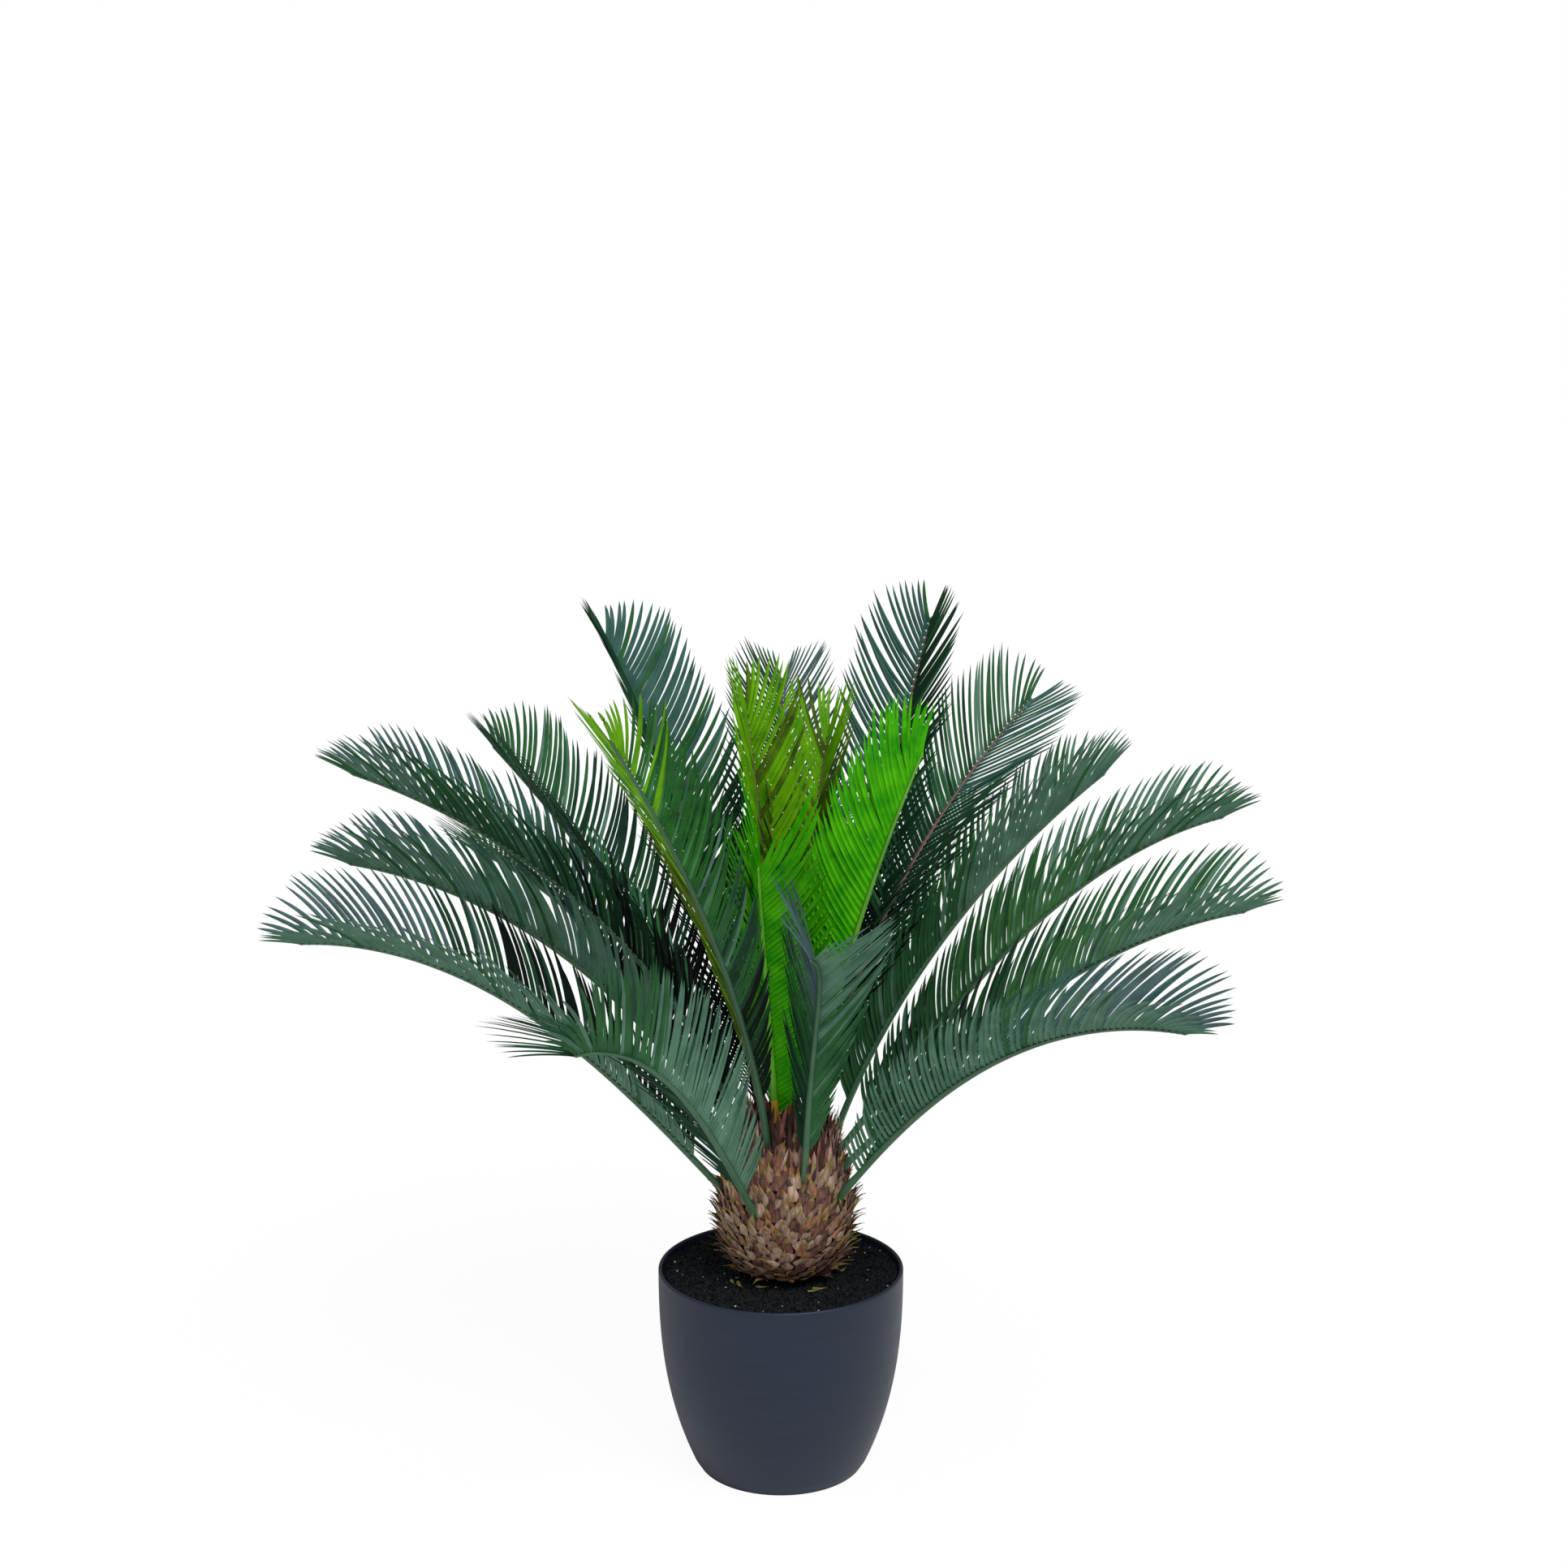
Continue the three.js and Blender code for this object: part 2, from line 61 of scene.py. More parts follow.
# %% Camera
SENSOR = 0.036
FOCAL_SHARE = 2900 / 1932  # focal length as a share of the picture's side
CAMERA_PLACE = (0.0027, -1.913, 0.9445)
CAMERA_PITCH = 10.31  # degrees below level

scene = bpy.context.scene


def added(name, data):
    """A new object that holds some data, linked to the scene."""
    item = bpy.data.objects.new(name, data)
    scene.collection.objects.link(item)
    return item


camera_data = bpy.data.cameras.new("camera")
camera_data.sensor_width = SENSOR * 1000
camera_data.lens = SENSOR * 1000 * FOCAL_SHARE
camera = added("camera", camera_data)
camera.location = CAMERA_PLACE
camera.rotation_euler = (math.radians(90 - CAMERA_PITCH), 0, 0)
scene.camera = camera
print("camera: lens", round(camera_data.lens, 2), "mm at", CAMERA_PLACE)

# %% [markdown]
# ## From arrays to meshes
#
# Most of this plant is the same kind of shape many times over: a small closed tube
# whose section changes along its length. A leaflet, a scale, a strip of fibre and
# a rib all are. So there is one way to join rings into tubes, for thousands of
# tubes at a time, and one way to put the arrays into a mesh. Instances would be
# lighter, but real meshes survive an export, so they are joined as real meshes.

# %% Joined tubes
def signed_volumes(points, quads, triangles, count):
    """Volume of each of count equal closed bodies: the sum over faces of a.(b x c) / 6."""
    corners = np.concatenate([quads[:, [0, 1, 2]], quads[:, [0, 2, 3]], triangles])
    a, b, c = (points[corners[:, k]] for k in range(3))
    parts = np.einsum("ij,ij->i", a, np.cross(b, c)) / 6
    owner = corners[:, 0] // (len(points) // count)
    return np.bincount(owner, weights=parts, minlength=count)


def tube_faces(count, rows, around):
    """Faces of count tubes whose points are rows x around ring points, then two end points."""
    size = rows * around + 2
    row, column = np.meshgrid(np.arange(rows - 1), np.arange(around), indexing="ij")
    here = (row * around + column).ravel()
    beside = (row * around + (column + 1) % around).ravel()
    quads = np.stack([here, beside, beside + around, here + around], axis=1)
    ring = np.arange(around)
    turn = (ring + 1) % around
    last = (rows - 1) * around
    start = np.stack([np.full(around, size - 2), turn, ring], axis=1)
    end = np.stack([np.full(around, size - 1), last + ring, last + turn], axis=1)
    shift = (np.arange(count) * size)[:, None, None]
    triangles = np.concatenate([start, end])
    return (quads[None] + shift).reshape(-1, 4), (triangles[None] + shift).reshape(-1, 3)


def joined_tubes(rings, first, last):
    """Tubes from rings[tube, row, corner] and the two end points of each tube.

    Neighbouring rings are joined by four-cornered faces and each end is closed by a
    fan to its end point. A tube that comes out inside out has its rings reversed.
    """
    count, rows, around = rings.shape[:3]
    quads, triangles = tube_faces(count, rows, around)

    def packed(some):
        bodies = [some.reshape(count, -1, 3), first[:, None], last[:, None]]
        return np.concatenate(bodies, axis=1).reshape(-1, 3)

    volumes = signed_volumes(packed(rings), quads, triangles, count)
    turned = np.where((volumes < 0)[:, None, None, None], rings[:, :, ::-1], rings)
    return packed(turned), [quads, triangles]


print("8 rings of 4 corners:", [len(some) for some in tube_faces(1, 8, 4)], "quads and triangles")

# %% Arrays into an object
def new_piece(name, points, faces, material, slot, replaced=(), sharp=None):
    """A mesh object from points (n, 3) and a list of face arrays, riding on the root body."""
    corners = np.concatenate([some.ravel() for some in faces]).astype(np.int32)
    sizes = np.concatenate([np.full(len(some), some.shape[1]) for some in faces])
    starts = np.concatenate([[0], np.cumsum(sizes)[:-1]]).astype(np.int32)
    mesh = bpy.data.meshes.new(name)
    mesh.vertices.add(len(points))
    mesh.vertices.foreach_set("co", np.asarray(points, dtype=np.float32).ravel())
    mesh.loops.add(len(corners))
    mesh.loops.foreach_set("vertex_index", corners)
    mesh.polygons.add(len(sizes))
    mesh.polygons.foreach_set("loop_start", starts)
    mesh.polygons.foreach_set("use_smooth", np.ones(len(sizes), dtype=bool))
    mesh.update(calc_edges=True)
    if sharp is not None:
        mesh.set_sharp_from_angle(angle=math.radians(sharp))
    mesh.materials.append(material)
    piece = added(name, mesh)
    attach(piece, "root")
    if replaced:
        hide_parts(*replaced)
    print(f"{name}: {int((sizes - 2).sum())} triangles")
    return piece


# %% [markdown]
# ## Finishes
#
# Moulded plastic is never one flat colour. The pot has a fine grain and very faint
# streaks round it, the leaflets differ a little in tone, and the scales were brushed
# with a darker wash. Three small node groups give those effects: soft patches, fine
# grain, and fibres drawn out along one direction. Each is built once and placed, with
# values of its own, in the materials that need it. The shader stays in the material.

# %% Soft patches
def link(tree, source, output, target, into):
    """Joins an output of one node to an input of another."""
    tree.links.new(source.outputs[output], target.inputs[into])


def set_inputs(node, **values):
    """Sets a node's inputs by name, with _ for a space, and gives the node back."""
    for label, value in values.items():
        node.inputs[label.replace("_", " ")].default_value = value
    return node


def new_node(tree, kind, **values):
    """A new shader node with some of its inputs set."""
    return set_inputs(tree.nodes.new("ShaderNode" + kind), **values)


def node_group(name, inputs, outputs):
    """An empty shader group with named number inputs (name, default) and outputs (name, kind)."""
    group = bpy.data.node_groups.new(name, "ShaderNodeTree")
    for label, default in inputs:
        socket = group.interface.new_socket(label, in_out="INPUT", socket_type="NodeSocketFloat")
        socket.default_value = default
    for label, kind in outputs:
        group.interface.new_socket(label, in_out="OUTPUT", socket_type=kind)
    return group, group.nodes.new("NodeGroupInput"), group.nodes.new("NodeGroupOutput")


def patches_group():
    """Soft patches: smooth noise in Object coordinates, spread to run from 0 to 1."""
    group, given, result = node_group(
        "soft_patches", [("Scale", 20.0), ("Detail", 3.0)], [("Mask", "NodeSocketFloat")])
    place = new_node(group, "TexCoord")
    noise = new_node(group, "TexNoise")
    spread = new_node(group, "MapRange", From_Min=0.32, From_Max=0.68)
    link(group, place, "Object", noise, "Vector")
    link(group, given, "Scale", noise, "Scale")
    link(group, given, "Detail", noise, "Detail")
    link(group, noise, "Fac", spread, "Value")
    link(group, spread, "Result", result, "Mask")
    return group


SOFT_PATCHES = patches_group()
print("node group:", SOFT_PATCHES.name)


# %% Fine grain
def grain_group():
    """Fine grain: two octaves of small noise added up, for a bump's height."""
    group, given, result = node_group(
        "fine_grain", [("Scale", 900.0), ("Coarse Share", 0.5)], [("Height", "NodeSocketFloat")])
    place = new_node(group, "TexCoord")
    fine = new_node(group, "TexNoise")
    coarse = new_node(group, "TexNoise")
    fourth = new_node(group, "Math")
    fourth.operation = "MULTIPLY"
    fourth.inputs[1].default_value = 0.25
    blend = new_node(group, "Mix")
    link(group, place, "Object", fine, "Vector")
    link(group, place, "Object", coarse, "Vector")
    link(group, given, "Scale", fine, "Scale")
    link(group, given, "Scale", fourth, 0)
    link(group, fourth, "Value", coarse, "Scale")
    link(group, given, "Coarse Share", blend, "Factor")
    link(group, fine, "Fac", blend, "A")
    link(group, coarse, "Fac", blend, "B")
    link(group, blend, "Result", result, "Height")
    return group


FINE_GRAIN = grain_group()
print("node group:", FINE_GRAIN.name)


# %% Drawn fibres
def drawn_group():
    """Drawn-out fibres: noise in Object coordinates squeezed by three factors, one an axis."""
    group, given, result = node_group(
        "drawn_fibres", [("Along X", 100.0), ("Along Y", 100.0), ("Along Z", 10.0)],
        [("Mask", "NodeSocketFloat")])
    place = new_node(group, "TexCoord")
    factors = new_node(group, "CombineXYZ")
    squeeze = new_node(group, "VectorMath")
    squeeze.operation = "MULTIPLY"
    noise = new_node(group, "TexNoise", Scale=1.0, Detail=4.0)
    spread = new_node(group, "MapRange", From_Min=0.35, From_Max=0.65)
    for axis in "XYZ":
        link(group, given, f"Along {axis}", factors, axis)
    link(group, place, "Object", squeeze, 0)
    link(group, factors, "Vector", squeeze, 1)
    link(group, squeeze, "Vector", noise, "Vector")
    link(group, noise, "Fac", spread, "Value")
    link(group, spread, "Result", result, "Mask")
    return group


DRAWN_FIBRES = drawn_group()
print("node group:", DRAWN_FIBRES.name)


# %% Colours and materials
def paint(code):
    """Linear colour from a six-figure hexadecimal display colour."""
    display = np.array([int(code[k:k + 2], 16) for k in (0, 2, 4)]) / 255
    linear = np.where(display <= 0.04045, display / 12.92, ((display + 0.055) / 1.055) ** 2.4)
    return (*linear.tolist(), 1.0)


def placed_group(material, group, **values):
    """The group as a node in the material, with the given input values."""
    node = new_node(material.node_tree, "Group")
    node.node_tree = group
    return set_inputs(node, **values)


def plastic(name, low, high, mask, roughness, bump, gloss=0.5):
    """A moulded finish: two colours mixed by a mask, roughness that follows it, and a grain.

    mask is (group, its values), roughness a pair of ends, and bump (scale, height in metres).
    """
    material = bpy.data.materials.new(name)
    material.use_nodes = True
    tree = material.node_tree
    shader = set_inputs(tree.nodes["Principled BSDF"], Specular_IOR_Level=gloss)
    pattern = placed_group(material, mask[0], **mask[1])
    colour = new_node(tree, "Mix")
    colour.data_type = "RGBA"
    set_inputs(colour, A=paint(low), B=paint(high))
    rough = new_node(tree, "MapRange", To_Min=roughness[0], To_Max=roughness[1])
    grain = placed_group(material, FINE_GRAIN, Scale=bump[0])
    relief = new_node(tree, "Bump", Distance=bump[1], Strength=1.0)
    link(tree, pattern, "Mask", colour, "Factor")
    link(tree, pattern, "Mask", rough, "Value")
    link(tree, colour, "Result", shader, "Base Color")
    link(tree, rough, "Result", shader, "Roughness")
    link(tree, grain, "Height", relief, "Height")
    link(tree, relief, "Normal", shader, "Normal")
    return material


print("display grey 808080 is", round(paint("808080")[0], 3), "in linear light")

# %% [markdown]
# ## The pot
#
# A thin-walled pot in charcoal plastic, upright at the rim and curving in towards
# a smaller flat foot. Its radius falls away from the rim by a power of the depth,
# which is the whole shape, so a profile turned about the axis makes it: down the
# outside, under the foot, and back up inside to the rounded lip.

# %% The pot's profile
POT_HEIGHT = 0.177
RIM_RADIUS = 0.105
FOOT_RADIUS = 0.072
POT_SWELL = 2.6
POT_WALL = 0.0032
POT_FLOOR = 0.004
FOOT_ROUND = 0.003
LIP_ROUND = POT_WALL / 2
POT_SIDES = 160


def pot_radius(height):
    """Rim radius less a share of the narrowing that grows as (depth below the rim) ** swell."""
    return RIM_RADIUS - (RIM_RADIUS - FOOT_RADIUS) * (1 - height / POT_HEIGHT) ** POT_SWELL


def arc(centre, radius, start, end, count):
    """Points (radius, height) on a circle's arc between two angles."""
    angle = np.radians(np.linspace(start, end, count))
    return np.stack([centre[0] + radius * np.cos(angle), centre[1] + radius * np.sin(angle)], axis=1)


def wall(heights, inset):
    """Points of the pot's wall at the given heights, moved in by inset."""
    return np.stack([pot_radius(heights) - inset, heights], axis=1)


pot_profile = np.concatenate([
    [[0.0, 0.0], [0.03, 0.0]],
    arc((pot_radius(0) - FOOT_ROUND, FOOT_ROUND), FOOT_ROUND, -90, -20, 5),
    wall(np.linspace(0.008, POT_HEIGHT - LIP_ROUND, 44), 0),
    arc((RIM_RADIUS - LIP_ROUND, POT_HEIGHT - LIP_ROUND), LIP_ROUND, 20, 160, 7),
    wall(np.linspace(POT_HEIGHT - LIP_ROUND, POT_FLOOR, 24), POT_WALL),
    [[0.0, POT_FLOOR]],
])
print("pot profile:", len(pot_profile), "points")


# %% Pot
def turned(profile, sides):
    """Turns a profile of (radius, height), from axis to axis, about the upright axis."""
    angle = np.arange(sides) / sides * 2 * np.pi
    middle = profile[1:-1]
    rings = np.stack([
        middle[:, :1] * np.cos(angle), middle[:, :1] * np.sin(angle),
        np.broadcast_to(middle[:, 1:], (len(middle), sides)),
    ], axis=2)
    ends = np.array([[0, 0, profile[0, 1]], [0, 0, profile[-1, 1]]])
    return joined_tubes(rings[None], ends[:1], ends[1:])


streaks_round = (DRAWN_FIBRES, {"Along_X": 16.0, "Along_Y": 16.0, "Along_Z": 260.0})
charcoal = plastic(
    "charcoal_plastic", "151e2e", "182234", streaks_round, (0.46, 0.51), (1400.0, 0.00004), gloss=0.27)
new_piece("pot_shell", *turned(pot_profile, POT_SIDES), charcoal, "pot", ["pot"], sharp=50)

# %% [markdown]
# ## Black granules
#
# The pot is filled nearly to the rim with something that reads as black grit: fine
# crumbs with a few pale specks. A bumpy sheet alone looks like tar, so crumbs lie on
# it. Each is a twenty-faced lump with every corner pushed in or out by its own
# amount, which is enough at their size, and they are placed in one array operation.

# %% Soil bed
SOIL_LEVEL = 0.1725
TRUNK_X = 0.004
SOIL_RADIUS = float(pot_radius(SOIL_LEVEL)) - POT_WALL - 0.0004
RIPPLES = 14
RIPPLE_SIZE = 0.012
RIPPLE_HEIGHT = 0.0005
SOIL_SIDES = 150


def ripple(x, y, waves, size):
    """Bumps as a sum of plane waves of random direction and phase, each about size across."""
    angle = rng.uniform(0, 2 * np.pi, waves)
    pace = 2 * np.pi / (size * rng.uniform(0.6, 1.6, waves))
    phase = rng.uniform(0, 2 * np.pi, waves)
    along = x[..., None] * np.cos(angle) + y[..., None] * np.sin(angle)
    return np.sin(along * pace + phase).sum(axis=-1) / np.sqrt(waves)


def soil_bed():
    """A turned body that fills the pot, its top lifted and dropped by ripples."""
    top = np.linspace(1, 0.01, 46)[:, None] * [[SOIL_RADIUS, 0]] + [[0, SOIL_LEVEL - 0.0012]]
    base = wall(np.array([POT_FLOOR, 0.03, 0.08, SOIL_LEVEL - 0.006]), POT_WALL + 0.0006)
    profile = np.concatenate([[[0, POT_FLOOR]], base, top, [[0, SOIL_LEVEL]]])
    points, faces = turned(profile, SOIL_SIDES)
    upper = points[:, 2] > SOIL_LEVEL - 0.002
    points[upper, 2] += RIPPLE_HEIGHT * ripple(points[upper, 0], points[upper, 1], RIPPLES, RIPPLE_SIZE)
    return points, faces


soil_black = plastic(
    "soil_black", "030405", "0a0c0e", (SOFT_PATCHES, {"Scale": 260.0}), (0.75, 0.95), (1800.0, 0.0004),
    gloss=0.1)
new_piece("soil_bed", *soil_bed(), soil_black, "soil", ["soil"], sharp=60)

# %% Crumbs and specks
CRUMBS = 6400
CRUMB_RADIUS = (0.0008, 0.0019)
CRUMB_SINK = 0.0008  # how deep a crumb's middle lies in the soil
CRUMB_DENTS = (0.65, 1.2)  # a corner's distance as a share of the radius
CRUMB_STRETCH = (0.7, 1.25)
SPECKS = 46
SPECK_RADIUS = (0.0007, 0.0014)
SPECK_SINK = 0.0001


def lump_shape():
    """The twelve corners and twenty faces of a regular lump, corners at distance 1."""
    golden = (1 + 5 ** 0.5) / 2
    corners = np.array([(a, b * golden, 0) for a in (-1, 1) for b in (-1, 1)])
    corners = np.concatenate([np.roll(corners, turn, axis=1) for turn in range(3)])
    corners = corners / np.linalg.norm(corners[0])
    gaps = np.linalg.norm(corners[:, None] - corners[None], axis=2)
    near = (gaps > 0.1) & (gaps < 1.1)
    i, j, k = np.meshgrid(*[np.arange(12)] * 3, indexing="ij")
    chosen = near[i, j] & near[j, k] & near[k, i] & (i < j) & (j < k)
    faces = np.stack([i[chosen], j[chosen], k[chosen]], axis=1)
    a, b, c = (corners[faces[:, n]] for n in range(3))
    inward = np.einsum("ij,ij->i", a, np.cross(b, c)) < 0
    faces[inward] = faces[inward][:, ::-1]
    return corners, faces


def crumbs(count, radius, sink):
    """Lumps scattered evenly on the soil: radius grows as the root of a random share."""
    corners, faces = lump_shape()
    out = np.sqrt(rng.uniform(0, 1, count)) * (SOIL_RADIUS - 0.002)
    turn = rng.uniform(0, 2 * np.pi, count)
    place = np.stack([out * np.cos(turn), out * np.sin(turn), np.full(count, SOIL_LEVEL - sink)], axis=1)
    size = rng.uniform(*radius, count)[:, None, None] * rng.uniform(*CRUMB_DENTS, (count, len(corners), 1))
    stretch = rng.uniform(*CRUMB_STRETCH, (count, 1, 3))
    points = place[:, None] + corners[None] * size * stretch
    shift = (np.arange(count) * len(corners))[:, None, None]
    return points.reshape(-1, 3), [(faces[None] + shift).reshape(-1, 3)]


crumb_black = plastic(
    "crumb_black", "04070a", "10161b", (SOFT_PATCHES, {"Scale": 320.0}), (0.6, 0.9), (2400.0, 0.0002),
    gloss=0.2)
speck_grey = plastic(
    "speck_grey", "6f7070", "b4b3ae", (SOFT_PATCHES, {"Scale": 300.0}), (0.6, 0.8), (2400.0, 0.0002))
new_piece("soil_crumbs", *crumbs(CRUMBS, CRUMB_RADIUS, CRUMB_SINK), crumb_black, "soil", ["soil"], sharp=30)
new_piece("soil_specks", *crumbs(SPECKS, SPECK_RADIUS, SPECK_SINK), speck_grey, "soil", ["soil"], sharp=30)

# %% [markdown]
# ## The trunk
#
# A sago palm's trunk is a bulb armoured with the stubs of old fronds. On this
# moulded one each stub is a flat, keeled scale that lies against the bulb and ends
# in a spine that turns outwards. Plants set such scales by the golden angle, which
# never lines them up, so the scales here are numbered from the soil upwards and
# each is turned 137.5 degrees on from the last. Their heights share out the bulb's
# surface evenly. A relief map would lose the spines at the outline, so each scale is
# its own closed shape on a dark core.

# %% The bulb's outline
TRUNK_OUTLINE = np.array([
    (30, 0), (41, 6), (51, 22), (56, 48), (55, 75),
    (50, 96), (45, 110), (40, 122), (32, 130), (16, 135), (0, 137),
]) / 1000
TRUNK_FOOT = SOIL_LEVEL + 0.0003


def smooth_curve(points, share):
    """A curve through points by the Catmull-Rom rule: a cubic between each pair of points."""
    span = np.clip(share, 0, 1) * (len(points) - 1)
    index = np.minimum(span.astype(int), len(points) - 2)
    t = (span - index)[:, None]
    last = len(points) - 1
    p0 = points[np.maximum(index - 1, 0)]
    p1, p2 = points[index], points[index + 1]
    p3 = points[np.minimum(index + 2, last)]
    v0, v1 = (p2 - p0) / 2, (p3 - p1) / 2
    cubic = (2 * p1 - 2 * p2 + v0 + v1) * t ** 3
    return cubic + (-3 * p1 + 3 * p2 - 2 * v0 - v1) * t ** 2 + v0 * t + p1


trunk_line = smooth_curve(TRUNK_OUTLINE, np.linspace(0, 1, 600))
trunk_steps = np.linalg.norm(np.diff(trunk_line, axis=0), axis=1)
trunk_length = np.concatenate([[0], np.cumsum(trunk_steps)])


def trunk_radius(height):
    """Radius of the bulb at a height above the soil."""
    return np.interp(height, trunk_line[:, 1], trunk_line[:, 0])


print("trunk outline:", round(trunk_length[-1], 3), "m from soil to crown")

# %% The dark core
CORE_INSET = 0.0035
CORE_DROP = 0.003  # how far its top lies under the crown
CORE_SIDES = 90
core_profile = np.concatenate([
    [[0, 0]], trunk_line[::12] - [[CORE_INSET, 0]], [[0, TRUNK_OUTLINE[-1, 1] - CORE_DROP]],
])
core_profile = core_profile[core_profile[:, 0] >= 0]
core_points, core_faces = turned(core_profile, CORE_SIDES)
core_points += (TRUNK_X, 0, TRUNK_FOOT)
umber = plastic(
    "core_umber", "1d1310", "3a2620", (DRAWN_FIBRES, {"Along_X": 320.0, "Along_Y": 320.0, "Along_Z": 60.0}),
    (0.75, 0.95), (900.0, 0.0006), gloss=0.25)
new_piece("trunk_core", core_points, core_faces, umber, "trunk", ["trunk"], sharp=60)

# %% Directions on the bulb
def unit(vectors):
    """Vectors scaled to length 1."""
    return vectors / np.linalg.norm(vectors, axis=-1, keepdims=True)


def level_way(turn):
    """Level directions at compass angles in radians, 0 at +X."""
    return np.stack([np.cos(turn), np.sin(turn), np.zeros_like(turn)], axis=1)


def surface_frame(length, turn):
    """Place, outward, upward and sideways directions on the bulb at a length along its outline."""
    radius = np.interp(length, trunk_length, trunk_line[:, 0])
    height = np.interp(length, trunk_length, trunk_line[:, 1])
    slope = unit(np.stack([
        np.interp(length, trunk_length, np.gradient(trunk_line[:, k], trunk_length)) for k in (0, 1)
    ], axis=1))
    out = level_way(turn)
    up = np.array([0, 0, 1.0])
    upward = out * slope[:, :1] + up * slope[:, 1:]
    outward = out * slope[:, 1:] - up * slope[:, :1]
    place = out * radius[:, None] + up * (height + TRUNK_FOOT)[:, None] + (TRUNK_X, 0, 0)
    return place, outward, upward, np.cross(upward, outward)


half_way = np.array([trunk_length[-1] / 2])
print("half way up the outline:", surface_frame(half_way, np.zeros(1))[0][0].round(3))

# %% Places by the golden angle
GOLDEN_TURN = 137.50776
SCALE_COUNT = 620
SCALE_LOW = 0.003  # heights of the lowest and the highest scale above the soil
SCALE_TOP = 0.118


def scale_places(count, low, high):
    """Heights that share the bulb's area evenly between two heights, and golden turns."""
    inside = (trunk_line[:, 1] >= low) & (trunk_line[:, 1] <= high)
    area = np.cumsum(np.gradient(trunk_length) * trunk_line[:, 0] * inside)
    share = (np.arange(count) + 0.5) / count * area[-1]
    length = np.interp(share, area, trunk_length)
    return length, np.radians(np.arange(count) * GOLDEN_TURN)


scale_at, scale_turn = scale_places(SCALE_COUNT, SCALE_LOW, SCALE_TOP)
scale_place, scale_out, scale_up, scale_side = surface_frame(scale_at, scale_turn)
scale_height = (scale_place[:, 2] - TRUNK_FOOT) / SCALE_TOP
print("scales:", SCALE_COUNT, "each turned by", GOLDEN_TURN, "degrees")

# %% Bent blades
BLADE_STEPS = 40
BLADE_POINT = 0.0002  # length of the point beyond the last ring


def walked(heading, length):
    """Lines from 0 that follow heading[line, station] in equal steps over a length each."""
    steps = (heading[:, 1:] + heading[:, :-1]) / 2 * (length / (heading.shape[1] - 1))[:, None, None]
    return np.concatenate([np.zeros((len(heading), 1, 3)), np.cumsum(steps, axis=1)], axis=1)


def bent_blades(place, along, outward, side, length, lift, widths, thick, share=(0, 1), rows=8):
    """Flat keeled blades. The middle line starts at place, runs along, and turns outwards.

    lift is (first, last) angles between the line and along, and the turn goes by the
    square of the share of the length. widths(s) is the half width at a share s of the
    length. Only the stretch between the two ends of share is made.
    """
    s = np.linspace(0, 1, BLADE_STEPS + 1)
    angle = np.radians(lift[0][:, None] + (lift[1] - lift[0])[:, None] * s ** 2)
    heading = np.cos(angle)[..., None] * along[:, None] + np.sin(angle)[..., None] * outward[:, None]
    line = walked(heading, length) + place[:, None]
    pick = np.linspace(share[0] * BLADE_STEPS, share[1] * BLADE_STEPS, rows).round().astype(int)
    middle, forward = line[:, pick], heading[:, pick]
    face = np.cross(side[:, None], forward)
    face *= np.sign(np.einsum("ij,ij->i", face[:, 0], outward))[:, None, None]
    half = widths(s[pick])[None, :, None] * side[:, None]
    deep = thick * (1 - 0.75 * s[pick])[None, :, None] * face
    ring = [half, half * 0.5 + deep * 0.75, deep, -half * 0.5 + deep * 0.75, -half, -deep * 0.3]
    rings = np.stack([middle + corner for corner in ring], axis=2)
    return rings, middle[:, 0], middle[:, -1] + forward[:, -1] * BLADE_POINT


print("a blade's middle line has", BLADE_STEPS, "steps")

# %% A scale's shape
SCALE_LENGTH = 0.022
SCALE_HALF_WIDTH = 0.0050
SCALE_THICK = 0.0016
SCALE_SINK = 0.0022  # how deep a scale's root lies in the bulb
SCALE_LEAN = 16  # spread of the angle that a spine ends at
SCALE_TWIST = 20  # spread of a scale's turn out of upright
ROOT_LIFT = 14.0  # angles between scale and bulb, at the root and at the spine's end
SPINE_LIFT = 54
LOW_LIFT_LOSS = 34  # the lowest scales' spines lie this much flatter
LOW_SHARE = 0.16  # share of the height that counts as low
SHIELD_END = 0.78  # share of the length where the shield ends
SPINE_SHARE = 0.24  # width of the spine as a share of the shield's


def scale_width(s):
    """Half width of a scale: a broad shield that draws in to a narrow spine."""
    shield = np.cos(np.pi / 2 * np.minimum(s / SHIELD_END, 1)) ** 0.8
    return SCALE_HALF_WIDTH * np.maximum(shield, SPINE_SHARE * (1 - s) ** 0.7)


lean = rng.normal(0, SCALE_LEAN, SCALE_COUNT)
twist = np.radians(rng.normal(0, SCALE_TWIST, SCALE_COUNT))[:, None]
scale_along = scale_up * np.cos(twist) + scale_side * np.sin(twist)
scale_across = scale_side * np.cos(twist) - scale_up * np.sin(twist)
shorter = 0.2 * np.clip(0.3 - scale_height, 0, 1)
scale_size = SCALE_LENGTH * rng.uniform(0.85, 1.2, SCALE_COUNT) * (1 - shorter)
lowness = np.clip(1 - scale_height / LOW_SHARE, 0, 1)
scale_lift = (np.full(SCALE_COUNT, ROOT_LIFT), SPINE_LIFT + lean - LOW_LIFT_LOSS * lowness)
print("scale lengths:", scale_size.min().round(4), "to", scale_size.max().round(4), "m")

# %% Paint the scales
SPINE_FROM = 0.56  # share of a scale's length where the spine's paint begins
SPINE_OVERLAP = 0.05  # how much further the shield's own piece runs
fibres_up = (DRAWN_FIBRES, {"Along_X": 420.0, "Along_Y": 420.0, "Along_Z": 110.0})


def dealt_out(paints, count):
    """A paint's number for each of count shapes, drawn by the shares that end the paints."""
    return rng.choice(len(paints), count, p=[share for _, _, share in paints.values()])


